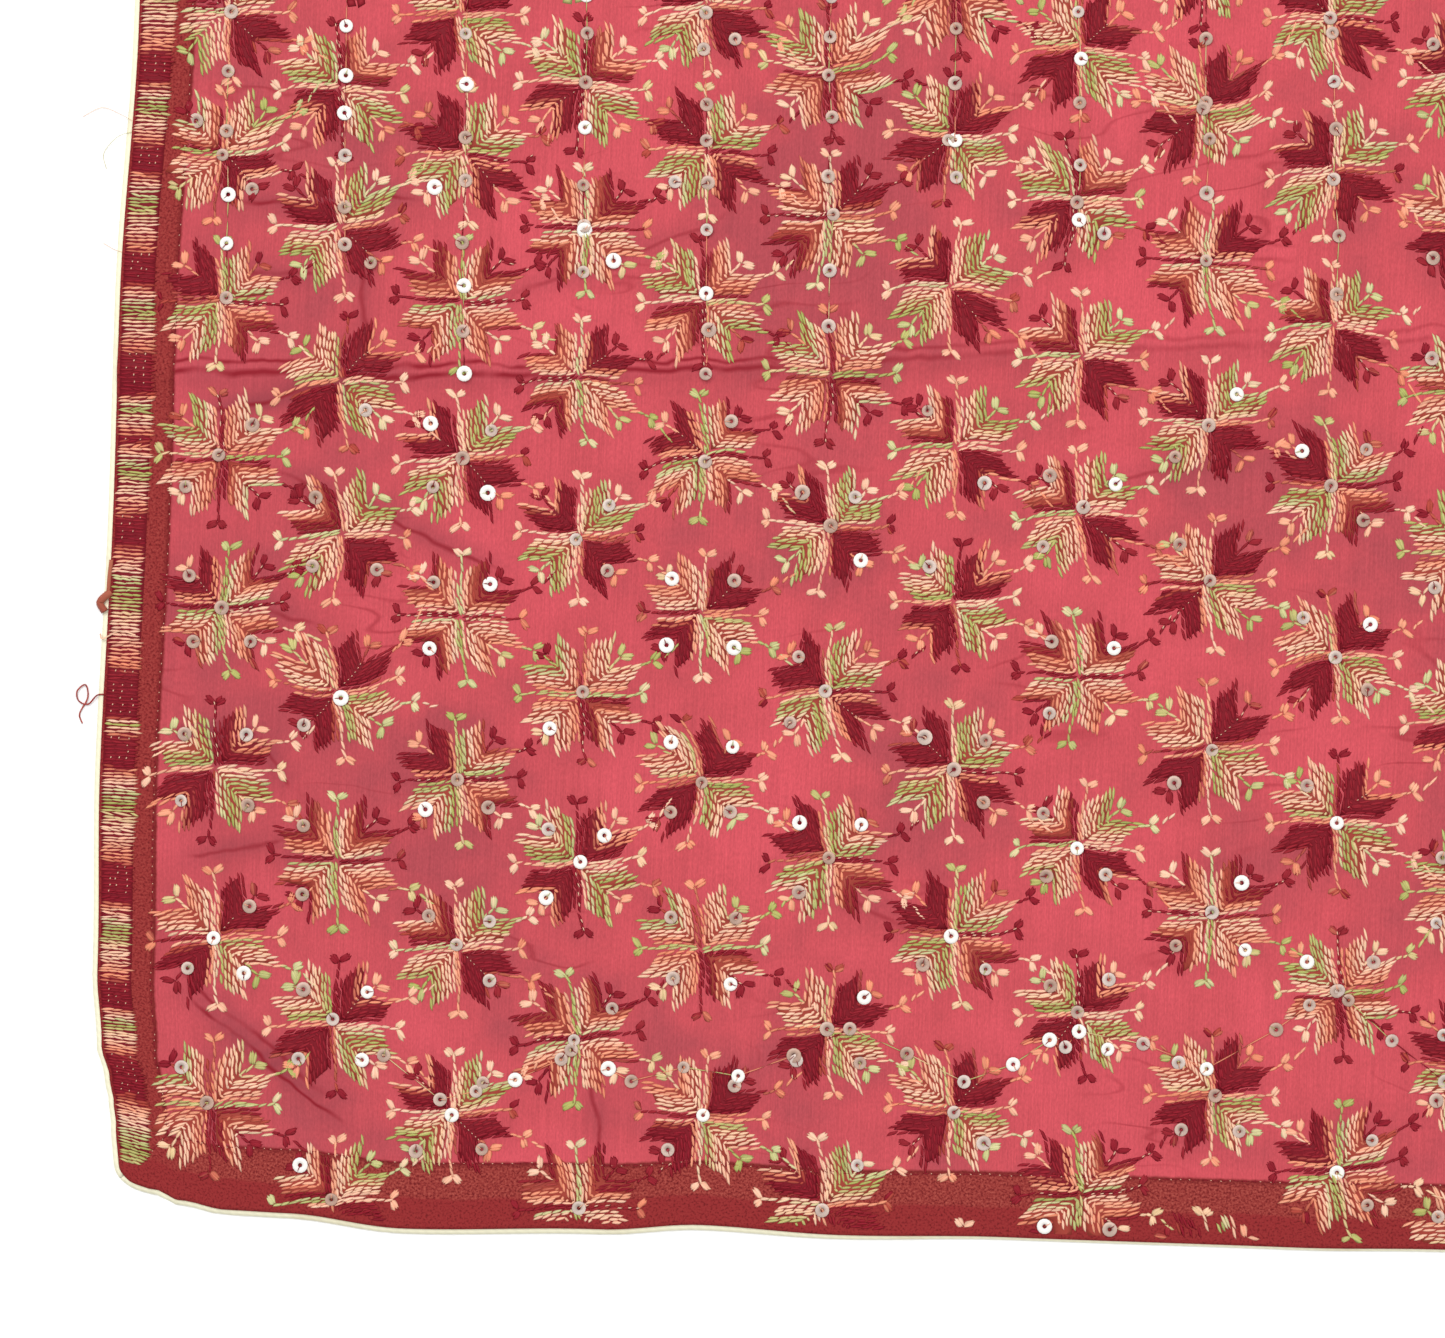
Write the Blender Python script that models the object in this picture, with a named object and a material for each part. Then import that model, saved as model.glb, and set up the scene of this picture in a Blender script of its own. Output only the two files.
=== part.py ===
"""A phulkari shawl laid flat on a table.

A sheer rose-red ground cloth has its four edges turned to the back as hems, mitred at the
corners. A cream edging tape is sewn behind the left and the bottom edge and peeps out beyond
them, and a dense band of embroidery runs up the left edge on the front.

Metres, +Z up. The shawl lies on z = 0 with its length along Y, and the origin is under the
middle of its box. A place on the cloth is first given as (across, along) from the cloth's lower
left corner, as if every edge were straight, and settle() then draws the edges in.
"""

from collections import namedtuple

import bmesh
import bpy

# Driving sizes of the whole shawl
WIDTH = 0.920
LENGTH = 2.200

# Layers: each is one wall of cloth, with a little air between it and the next
WALL = 0.0010
GAP = 0.0003
BAND_THICK = 0.0008

# Hems: how deep they are turned, and how far further in the cloth comes down to the table
HEM_DEPTH = 0.0180
HEM_EASE = 0.0005
HEM_STEP = 0.0025
PLAIN_EDGE_TURN = 0.0006
MITRE_GAP = 0.0005

# Cream edging tape on the left and the bottom edge
TAPE_SHOWS = 0.0016
TAPE_UNDER = 0.0053
TAPE_TO_HEM = 0.0004

# Embroidered band on the left edge
BAND_FROM = 0.0009
BAND_TO = 0.0104
BAND_START = 0.0140
BAND_STOP_SHORT = 0.0040

# The cloth without the tape that shows beyond it
CLOTH_WIDTH = WIDTH - TAPE_SHOWS
CLOTH_LENGTH = LENGTH - TAPE_SHOWS

# Rounding of the corners, and how far into the cloth a drawn-in edge is felt
CORNER_RADIUS = 0.0050
EASE_REACH = 0.045

# How far an edge draws in from a straight line: the place along the edge, then the amount
Drawn = namedtuple("Drawn", "along inwards")

LEFT_EDGE = (
    Drawn(0.000, 0.0110),
    Drawn(0.019, 0.0094),
    Drawn(0.028, 0.0084),
    Drawn(0.037, 0.0069),
    Drawn(0.050, 0.0039),
    Drawn(0.078, 0.0017),
    Drawn(0.150, 0.0000),
    Drawn(0.230, 0.0009),
    Drawn(0.300, 0.0003),
    Drawn(0.380, 0.0028),
    Drawn(0.550, 0.0012),
    Drawn(0.900, 0.0030),
    Drawn(1.350, 0.0008),
    Drawn(1.800, 0.0026),
    Drawn(2.160, 0.0016),
    Drawn(2.200, 0.0036),
)

BOTTOM_EDGE = (
    Drawn(0.000, 0.0115),
    Drawn(0.012, 0.0090),
    Drawn(0.021, 0.0060),
    Drawn(0.038, 0.0036),
    Drawn(0.060, 0.0033),
    Drawn(0.097, 0.0000),
    Drawn(0.160, 0.0022),
    Drawn(0.191, 0.0048),
    Drawn(0.233, 0.0034),
    Drawn(0.285, 0.0048),
    Drawn(0.376, 0.0052),
    Drawn(0.424, 0.0064),
    Drawn(0.560, 0.0048),
    Drawn(0.740, 0.0026),
    Drawn(0.880, 0.0038),
    Drawn(0.920, 0.0070),
)

RIGHT_EDGE = (
    Drawn(0.000, 0.0052),
    Drawn(0.060, 0.0022),
    Drawn(0.420, 0.0000),
    Drawn(0.950, 0.0028),
    Drawn(1.450, 0.0010),
    Drawn(1.900, 0.0030),
    Drawn(2.200, 0.0056),
)

TOP_EDGE = (
    Drawn(0.000, 0.0046),
    Drawn(0.060, 0.0018),
    Drawn(0.330, 0.0000),
    Drawn(0.600, 0.0030),
    Drawn(0.860, 0.0022),
    Drawn(0.920, 0.0050),
)

# Creases pressed in by storage: the place, the height, and the stretch where it is sharpest
Fold = namedtuple("Fold", "at height sharp_from sharp_to")

FOLD_HALF_WIDTH = 0.0080
FOLD_FADE = 0.160
FOLD_FAINT = 0.35
CROSS_FOLDS = (
    Fold(0.275, 0.0026, 0.080, 0.250),
    Fold(0.550, 0.0016, 0.500, 0.760),
    Fold(0.825, 0.0022, 0.240, 0.520),
    Fold(1.100, 0.0028, 0.120, 0.800),
    Fold(1.375, 0.0018, 0.060, 0.300),
    Fold(1.650, 0.0024, 0.420, 0.700),
    Fold(1.925, 0.0016, 0.300, 0.480),
)
LONG_FOLD = Fold(0.460, 0.0022, 0.500, 1.700)

# Grid lines in the corner that is drawn in most, and their spacing elsewhere
CORNER_LINES = (0.0, 0.0025, 0.0050, 0.0120)
LEFT_LINES = (0.028, 0.037, 0.050, 0.078, 0.112, 0.150, 0.190, 0.230)
BOTTOM_LINES = (0.030, 0.042, 0.060, 0.097, 0.130, 0.160, 0.191, 0.233, 0.285, 0.330, 0.376)
LINE_SPACING = 0.080

# Finishes: colour, roughness
Finish = namedtuple("Finish", "red green blue roughness")

FINISHES = {
    "ground": Finish(0.565, 0.089, 0.102, 0.82),
    "turned_hem": Finish(0.323, 0.040, 0.036, 0.85),
    "edging_tape": Finish(0.905, 0.820, 0.610, 0.80),
    "band_thread": Finish(0.420, 0.130, 0.085, 0.60),
}


def clear_scene():
    """Removes what a new file starts with."""
    for old in list(bpy.data.objects):
        bpy.data.objects.remove(old)


def make_material(name):
    """A fabric finish from the table."""
    finish = FINISHES[name]
    material = bpy.data.materials.new(name)
    material.use_nodes = True
    shader = material.node_tree.nodes["Principled BSDF"]
    shader.inputs["Base Color"].default_value = (finish.red, finish.green, finish.blue, 1.0)
    shader.inputs["Roughness"].default_value = finish.roughness
    shader.inputs["Metallic"].default_value = 0.0
    return material


def smooth(share):
    """An even ease from 0 to 1."""
    share = min(1.0, max(0.0, share))
    return share * share * (3.0 - 2.0 * share)


def drawn_in(edge, along):
    """How far an edge is drawn in at a place along it, eased between the table's rows."""
    if along <= edge[0].along:
        return edge[0].inwards
    for near, far in zip(edge, edge[1:]):
        if along <= far.along:
            share = smooth((along - near.along) / (far.along - near.along))
            return near.inwards + share * (far.inwards - near.inwards)
    return edge[-1].inwards


def felt(depth):
    """How much of an edge's drawing-in is felt this deep in the cloth."""
    depth = max(0.0, depth)
    return 1.0 / (1.0 + (depth / EASE_REACH) ** 2)


def round_corner(across, along):
    """Bends the last stretch before a corner onto an arc.

    Squares about the arc's centre become circles about it, so lines beyond the cloth's
    own edge, as the tape's are, run round the same corner.
    """
    to_left = min(across, CLOTH_WIDTH - across)
    to_end = min(along, CLOTH_LENGTH - along)
    if to_left >= CORNER_RADIUS or to_end >= CORNER_RADIUS:
        return across, along
    out = CORNER_RADIUS - to_left
    down = CORNER_RADIUS - to_end
    shrink = max(out, down) / (out * out + down * down) ** 0.5
    to_left = CORNER_RADIUS - out * shrink
    to_end = CORNER_RADIUS - down * shrink
    if across > CLOTH_WIDTH / 2:
        across = CLOTH_WIDTH - to_left
    else:
        across = to_left
    if along > CLOTH_LENGTH / 2:
        along = CLOTH_LENGTH - to_end
    else:
        along = to_end
    return across, along


def settle(across, along):
    """The place on the table of a point given as if every edge were straight."""
    near_across, near_along = round_corner(across, along)
    x = near_across
    x += drawn_in(LEFT_EDGE, along) * felt(across)
    x -= drawn_in(RIGHT_EDGE, along) * felt(CLOTH_WIDTH - across)
    y = near_along
    y += drawn_in(BOTTOM_EDGE, across) * felt(along)
    y -= drawn_in(TOP_EDGE, across) * felt(CLOTH_LENGTH - along)
    return x + TAPE_SHOWS - WIDTH / 2, y + TAPE_SHOWS - LENGTH / 2


def crease(fold, off, along_it):
    """Height of one pressed fold at a distance from its line, at a place along it."""
    beyond = max(fold.sharp_from - along_it, along_it - fold.sharp_to, 0.0)
    sharpness = FOLD_FAINT + (1.0 - FOLD_FAINT) * (1.0 - smooth(beyond / FOLD_FADE))
    return fold.height * sharpness * max(0.0, 1.0 - abs(off) / FOLD_HALF_WIDTH)


def folds(across, along):
    """Height of the pressed folds. A hem rises as one with the cloth at its inner line."""
    inner = HEM_DEPTH + HEM_EASE
    across = min(max(across, inner), CLOTH_WIDTH - inner)
    along = min(max(along, inner), CLOTH_LENGTH - inner)
    crosswise = max(crease(fold, along - fold.at, across) for fold in CROSS_FOLDS)
    return max(crosswise, crease(LONG_FOLD, across - LONG_FOLD.at, along))


def under_ground(across, along):
    """Underside of the ground cloth: on the table, and over the hems on top of them."""
    to_edge = min(across, along, CLOTH_WIDTH - across, CLOTH_LENGTH - along)
    down = smooth((to_edge - HEM_DEPTH - HEM_EASE) / HEM_STEP)
    return (1.0 - down) * (WALL + GAP) + folds(across, along)


def under_band(across, along):
    """Underside of the band: just clear of the ground cloth's face."""
    return under_ground(across, along) + WALL + GAP


def on_table(across, along):
    """Underside of what lies flat on the table."""
    return 0.0


def spread_lines(given, end):
    """Grid lines from a list, with more put between them where they are far apart."""
    lines = sorted(set(round(line, 5) for line in given if line <= end))
    filled = [lines[0]]
    for near, far in zip(lines, lines[1:]):
        parts = max(1, round((far - near) / LINE_SPACING))
        for step in range(1, parts + 1):
            filled.append(near + (far - near) * step / parts)
    return filled


def edge_lines(end):
    """Lines that the hems and rounded corners need, at both ends."""
    step = HEM_DEPTH + HEM_EASE
    near = CORNER_LINES[:3] + (step, step + HEM_STEP)
    return near + tuple(end - line for line in near)


def fold_lines(fold):
    """The three lines of a pressed fold."""
    return (fold.at - FOLD_HALF_WIDTH, fold.at, fold.at + FOLD_HALF_WIDTH)


def across_lines():
    """Grid lines that run up the cloth."""
    given = CORNER_LINES + BOTTOM_LINES + edge_lines(CLOTH_WIDTH) + fold_lines(LONG_FOLD)
    return spread_lines(given, CLOTH_WIDTH)


def along_lines():
    """Grid lines that run across the cloth."""
    given = CORNER_LINES + LEFT_LINES + edge_lines(CLOTH_LENGTH)
    for fold in CROSS_FOLDS:
        given += fold_lines(fold)
    return spread_lines(given, CLOTH_LENGTH)


def lay_cloth(name, rows, under, thickness, finish):
    """One wall of cloth from rows of (across, along) points, each row further along.

    The underside is laid first, facing up, and Solidify then gives the wall its thickness
    upwards, so what lies on the table is exactly flat.
    """
    cloth = bmesh.new()
    laid = []
    for row in rows:
        points = [(*settle(across, along), under(across, along)) for across, along in row]
        laid.append([cloth.verts.new(point) for point in points])
    for near, far in zip(laid, laid[1:]):
        for a, b, c, d in zip(near, near[1:], far[1:], far):
            cloth.faces.new((a, b, c, d))
    mesh = bpy.data.meshes.new(name)
    cloth.to_mesh(mesh)
    cloth.free()
    mesh.materials.append(finish)
    mesh.shade_smooth()
    piece = bpy.data.objects.new(name, mesh)
    bpy.context.scene.collection.objects.link(piece)
    wall = piece.modifiers.new("wall", "SOLIDIFY")
    wall.thickness = thickness
    wall.offset = 1.0
    wall.use_even_offset = True
    return piece


def strip_depths(outer, inner):
    """Three lines across a strip, from its outer edge to its inner one."""
    return [outer, (outer + inner) / 2, inner]


def run_lines(lines, starts, stops):
    """The places along a strip of its cross lines, a list for each of its depths.

    A strip's ends are slanted: each depth has its own start and stop. Where every depth is
    past its start the strip keeps the cloth's grid lines, and nearer the end they are
    squeezed, so that two strips side by side bend at the same places.
    """
    low, high = min(starts), max(stops)
    inside = [line for line in lines if low + MITRE_GAP < line < high - MITRE_GAP]
    first = min(line for line in inside if line > max(starts) + MITRE_GAP)
    last = max(line for line in inside if line < min(stops) - MITRE_GAP)
    runs = []
    for start, stop in zip(starts, stops):
        places = [start]
        for line in inside:
            if line < first:
                line = first - (first - line) * (first - start) / (first - low)
            elif line > last:
                line = last + (line - last) * (stop - last) / (high - last)
            places.append(line)
        runs.append(places + [stop])
    return runs


def upright_strip(side, depths, low_ends, high_ends):
    """Rows of a strip that runs up the cloth, with slanted ends.

    side is "left" or "right". depths are distances from that edge, and low_ends and
    high_ends are where each of them starts and stops along the cloth.
    """
    runs = run_lines(along_lines(), low_ends, high_ends)
    if side == "left":
        columns = list(zip(depths, runs))
    else:
        columns = [(CLOTH_WIDTH - depth, run) for depth, run in zip(depths, runs)][::-1]
    return [[(across, run[i]) for across, run in columns] for i in range(len(runs[0]))]


def level_strip(side, depths, left_ends, right_ends):
    """Rows of a strip that runs across the cloth, with slanted ends.

    side is "bottom" or "top". depths are distances from that edge, and left_ends and
    right_ends are where each of them starts and stops across the cloth.
    """
    runs = run_lines(across_lines(), left_ends, right_ends)
    if side == "bottom":
        levels = list(zip(depths, runs))
    else:
        levels = [(CLOTH_LENGTH - depth, run) for depth, run in zip(depths, runs)][::-1]
    return [[(across, along) for across in run] for along, run in levels]


def make_ground():
    """The one panel of ground cloth, over the hems and down to the table inside them."""
    rows = [[(across, along) for across in across_lines()] for along in along_lines()]
    return lay_cloth("ground_cloth", rows, under_ground, WALL, make_material("ground"))


def make_hems():
    """The four allowances turned to the back, mitred where they meet.

    The left and the bottom one start beside the edging tape, the other two at the edge.
    """
    finish = make_material("turned_hem")
    taped = strip_depths(TAPE_UNDER + TAPE_TO_HEM, HEM_DEPTH)
    plain = strip_depths(PLAIN_EDGE_TURN, HEM_DEPTH)
    low_ends = [depth + MITRE_GAP for depth in taped]
    high_ends = [CLOTH_LENGTH - depth - MITRE_GAP for depth in plain]
    right_ends = [CLOTH_WIDTH - depth for depth in plain]
    rows = {
        "hem_left": upright_strip("left", taped, low_ends, high_ends),
        "hem_right": upright_strip("right", plain, low_ends, high_ends),
        "hem_bottom": level_strip("bottom", taped, taped, right_ends),
        "hem_top": level_strip("top", plain, taped, right_ends),
    }
    return [lay_cloth(name, strip, on_table, WALL, finish) for name, strip in rows.items()]


def make_tapes():
    """The cream edging behind the left and the bottom edge, mitred at the corner."""
    finish = make_material("edging_tape")
    depths = strip_depths(-TAPE_SHOWS, TAPE_UNDER)
    top = [CLOTH_LENGTH - PLAIN_EDGE_TURN] * len(depths)
    right = [CLOTH_WIDTH - PLAIN_EDGE_TURN] * len(depths)
    left = upright_strip("left", depths, [depth + MITRE_GAP for depth in depths], top)
    bottom = level_strip("bottom", depths, depths, right)
    return [
        lay_cloth("tape_left", left, on_table, WALL, finish),
        lay_cloth("tape_bottom", bottom, on_table, WALL, finish),
    ]


def make_band():
    """The embroidered band on the face of the left edge."""
    depths = [BAND_FROM, BAND_TO]
    low = [BAND_START] * len(depths)
    high = [CLOTH_LENGTH - BAND_STOP_SHORT] * len(depths)
    rows = upright_strip("left", depths, low, high)
    finish = make_material("band_thread")
    return lay_cloth("border_band", rows, under_band, BAND_THICK, finish)


def main():
    """Makes the shawl, from the panel to what is sewn on it."""
    clear_scene()
    make_ground()
    make_hems()
    make_tapes()
    make_band()


main()
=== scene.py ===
"""The looks of a phulkari shawl laid flat on a pale table.

Sheer rose-red georgette carries star flowers in variegated chain stitch, joined by vines with
small buds, and strings of sequins. Its edges are turned to the back, a cream edging peeps out
on the left and at the bottom, and a dense band of stitching runs up the left edge.

A place on the cloth is (across, along) in metres from the cloth's lower left corner, as if all
its edges were straight. Lie.settle() gives the x and y where that place lies on the table.
"""

import logging
import math
from dataclasses import dataclass, field, replace
from enum import Enum

import bpy
import numpy as np
from numpy.typing import NDArray
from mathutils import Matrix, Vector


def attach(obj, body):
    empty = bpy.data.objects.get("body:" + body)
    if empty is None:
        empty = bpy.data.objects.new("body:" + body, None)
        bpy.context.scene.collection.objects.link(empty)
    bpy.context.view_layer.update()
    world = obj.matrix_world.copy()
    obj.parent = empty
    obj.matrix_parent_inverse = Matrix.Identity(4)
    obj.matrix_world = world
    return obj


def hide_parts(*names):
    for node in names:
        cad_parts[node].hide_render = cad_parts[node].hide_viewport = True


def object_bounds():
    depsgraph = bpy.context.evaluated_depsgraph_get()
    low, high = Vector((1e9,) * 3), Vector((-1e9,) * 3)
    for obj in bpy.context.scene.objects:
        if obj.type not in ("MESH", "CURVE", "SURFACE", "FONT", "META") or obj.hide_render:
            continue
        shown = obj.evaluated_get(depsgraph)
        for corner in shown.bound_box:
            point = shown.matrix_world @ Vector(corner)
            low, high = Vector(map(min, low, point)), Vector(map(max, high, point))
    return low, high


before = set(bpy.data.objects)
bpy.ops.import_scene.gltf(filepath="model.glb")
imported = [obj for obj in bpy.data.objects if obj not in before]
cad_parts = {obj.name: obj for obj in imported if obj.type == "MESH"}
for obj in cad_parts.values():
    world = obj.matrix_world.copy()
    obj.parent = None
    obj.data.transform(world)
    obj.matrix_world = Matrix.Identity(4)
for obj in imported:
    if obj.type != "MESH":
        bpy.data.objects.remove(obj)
CAD_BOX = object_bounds()

Floats = NDArray[np.float64]
Ints = NDArray[np.int64]
Bools = NDArray[np.bool_]
Mesh = bpy.types.Mesh
Material = bpy.types.Material
Piece = bpy.types.Object
Socket = bpy.types.NodeSocket
Stops = tuple[tuple[float, str], ...]

log = logging.getLogger("shawl")

MM = 0.001
CENTRE = 0.5
FULL_TURN = 2.0 * math.pi
ROOT = "root"

# One pixel of the photograph on the cloth, the turn of the cloth in it, and its middle
PHOTO_PIXEL = 0.31 * MM
PHOTO_SIZE = (1445, 1338)
PHOTO_TURN = math.radians(2.3)
PHOTO_MIDDLE = (193.1 * MM, 178.8 * MM)

# The corner of the shawl that the photograph shows, with a margin
CORNER_ACROSS = 0.440
CORNER_ALONG = 0.405

# The pale stretch of the thread's dye cycle
PALE_DYE = 0.53


def eased(share: Floats) -> Floats:
    """An even ease from 0 to 1, level at both ends."""
    share = np.clip(share, 0.0, 1.0)
    return share * share * (3.0 - 2.0 * share)


def bell(distance: Floats) -> Floats:
    """A rounded hump, 1 in the middle and nearly 0 beyond 2."""
    return np.exp(-np.square(distance))


def in_corner(across: Floats, along: Floats) -> Bools:
    """Which places are in the seen corner, or just beside it."""
    return (across < CORNER_ACROSS + 4 * MM) & (along < CORNER_ALONG + 4 * MM)


# Meshes from arrays


def mesh_of(name: str, points: Floats, faces: list[Ints]) -> Mesh:
    """Puts points and faces into a new mesh.

    Args:
        name: the mesh's name.
        points: its points, one row each.
        faces: arrays of point numbers, each array with one row for each face.

    Returns:
        The mesh.
    """
    mesh = bpy.data.meshes.new(name)
    mesh.vertices.add(len(points))
    mesh.vertices.foreach_set("co", np.ascontiguousarray(points, np.float32).ravel())
    corners = np.concatenate([part.ravel() for part in faces]).astype(np.int32)
    sides = np.concatenate([np.full(len(part), part.shape[1]) for part in faces])
    mesh.loops.add(len(corners))
    mesh.loops.foreach_set("vertex_index", corners)
    mesh.polygons.add(len(sides))
    starts = np.concatenate([[0], np.cumsum(sides)[:-1]]).astype(np.int32)
    mesh.polygons.foreach_set("loop_start", starts)
    mesh.update(calc_edges=True)
    mesh.shade_smooth()
    return mesh


def map_points(mesh: Mesh, name: str, places: Floats) -> None:
    """Gives a mesh a UV map from one place for each point.

    Args:
        mesh: the mesh.
        name: the map's name.
        places: u and v of each point.
    """
    corners = np.zeros(len(mesh.loops), np.int32)
    mesh.loops.foreach_get("vertex_index", corners)
    layer = mesh.uv_layers.new(name=name)
    layer.data.foreach_set("uv", places[corners].astype(np.float32).ravel())


def give_value(mesh: Mesh, name: str, values: Floats) -> None:
    """Gives each point of a mesh a named value."""
    layer = mesh.attributes.new(name, "FLOAT", "POINT")
    layer.data.foreach_set("value", values.astype(np.float32).ravel())


def place_piece(mesh: Mesh, material: Material) -> Piece:
    """Puts a finished mesh into the scene as a piece that rides with the shawl.

    Args:
        mesh: the mesh, with its place in its points.
        material: its finish.

    Returns:
        The piece.
    """
    mesh.materials.append(material)
    piece = bpy.data.objects.new(mesh.name, mesh)
    bpy.context.scene.collection.objects.link(piece)
    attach(piece, ROOT)
    log.info("%s: %d faces", mesh.name, len(mesh.polygons))
    return piece


# Shader nodes


def linear(hex_colour: str) -> tuple[float, float, float, float]:
    """Turns an sRGB hex colour into the linear colour that a shader takes.

    Args:
        hex_colour: the colour, as "#rrggbb".

    Returns:
        Its linear red, green and blue, and a full alpha.
    """
    parts = [int(hex_colour[i : i + 2], 16) / 255.0 for i in (1, 3, 5)]
    curve = [c / 12.92 if c <= 0.04045 else ((c + 0.055) / 1.055) ** 2.4 for c in parts]
    return (*curve, 1.0)


class Recipe:
    """A material while it is being made."""

    def __init__(self, name: str) -> None:
        """Starts a material.

        Args:
            name: the real material's name.
        """
        self.material = bpy.data.materials.new(name)
        self.material.use_nodes = True
        self.tree = self.material.node_tree

    def give(self, socket: Socket, value: object) -> None:
        """Links a socket to an input, or gives the input a plain value.

        Args:
            socket: the input.
            value: another node's output, or the value.
        """
        if isinstance(value, Socket):
            self.tree.links.new(value, socket)
        else:
            socket.default_value = value

    def add(self, kind: str, inputs: dict | tuple = (), stops: Stops = (), **settings: object) -> Socket:
        """Adds a node with its settings and links.

        Args:
            kind: the node's type, without the word ShaderNode.
            inputs: what goes into its inputs, in their order or by name.
            stops: a ramp's places and hex colours.
            settings: the node's own settings.

        Returns:
            The node's first output.
        """
        node = self.tree.nodes.new("ShaderNode" + kind)
        for name, value in settings.items():
            setattr(node, name, value)
        for key, value in inputs.items() if isinstance(inputs, dict) else enumerate(inputs):
            self.give(node.inputs[key], value)
        points = node.color_ramp.elements if stops else ()
        for _ in stops[len(points) :]:
            points.new(1.0)
        for point, (place, colour) in zip(points, stops):
            point.position = place
            point.color = linear(colour)
        return node.outputs[0]

    def finish(self, inputs: dict[str, object]) -> Material:
        """Gives the Principled shader what it shows.

        Args:
            inputs: what goes into the shader's inputs, by name.

        Returns:
            The material.
        """
        shader = self.tree.nodes["Principled BSDF"]
        for name, value in inputs.items():
            self.give(shader.inputs[name], value)
        return self.material


@dataclass(frozen=True)
class Grain:
    """A noise on the cloth: how many patches it has to a metre, and how finely it breaks up."""

    per_metre: float
    detail: float = 2.0
    roughness: float = 0.5

    def on(self, place: Socket) -> dict[str, object]:
        """The inputs of a noise that reads this place."""
        noise = {"Scale": self.per_metre, "Detail": self.detail, "Roughness": self.roughness}
        return {"Vector": place, **noise}


# How the cloth lies


@dataclass(frozen=True)
class EdgeLine:
    """An edge of the cloth: how far it draws in from straight, at places along it."""

    along: tuple[float, ...]
    inwards: tuple[float, ...]

    def at(self, place: Floats) -> Floats:
        """Eases between the given amounts.

        Args:
            place: places along the edge.

        Returns:
            How far it draws in at each.
        """
        rows, amounts = np.array(self.along), np.array(self.inwards)
        last = np.clip(np.searchsorted(rows, place, side="right"), 1, len(rows) - 1)
        share = eased((place - rows[last - 1]) / (rows[last] - rows[last - 1]))
        return amounts[last - 1] + share * (amounts[last] - amounts[last - 1])


@dataclass(frozen=True)
class Fold:
    """A crease pressed in by storage: its place, height, and where it is sharpest."""

    at: float
    height: float
    sharp_from: float
    sharp_to: float


@dataclass(frozen=True)
class Crease:
    """A soft crease between two places on the cloth, in millimetres."""

    start: tuple[float, float]
    stop: tuple[float, float]
    height: float
    half_width: float
    end_height: float = 0.35

    def rise(self, across: Floats, along: Floats) -> Floats:
        """A hump about the crease's line that dies at both ends.

        Args:
            across: places across the cloth.
            along: places along it.

        Returns:
            Its height at each place.
        """
        start, stop = np.array(self.start) * MM, np.array(self.stop) * MM
        run = stop - start
        share = ((across - start[0]) * run[0] + (along - start[1]) * run[1]) / (run @ run)
        held = np.clip(share, 0.0, 1.0)
        off = np.hypot(across - start[0] - held * run[0], along - start[1] - held * run[1])
        taper = self.end_height + (1.0 - self.end_height) * np.sin(np.pi * held)
        return self.height * MM * taper * bell(off / (self.half_width * MM))


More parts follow.
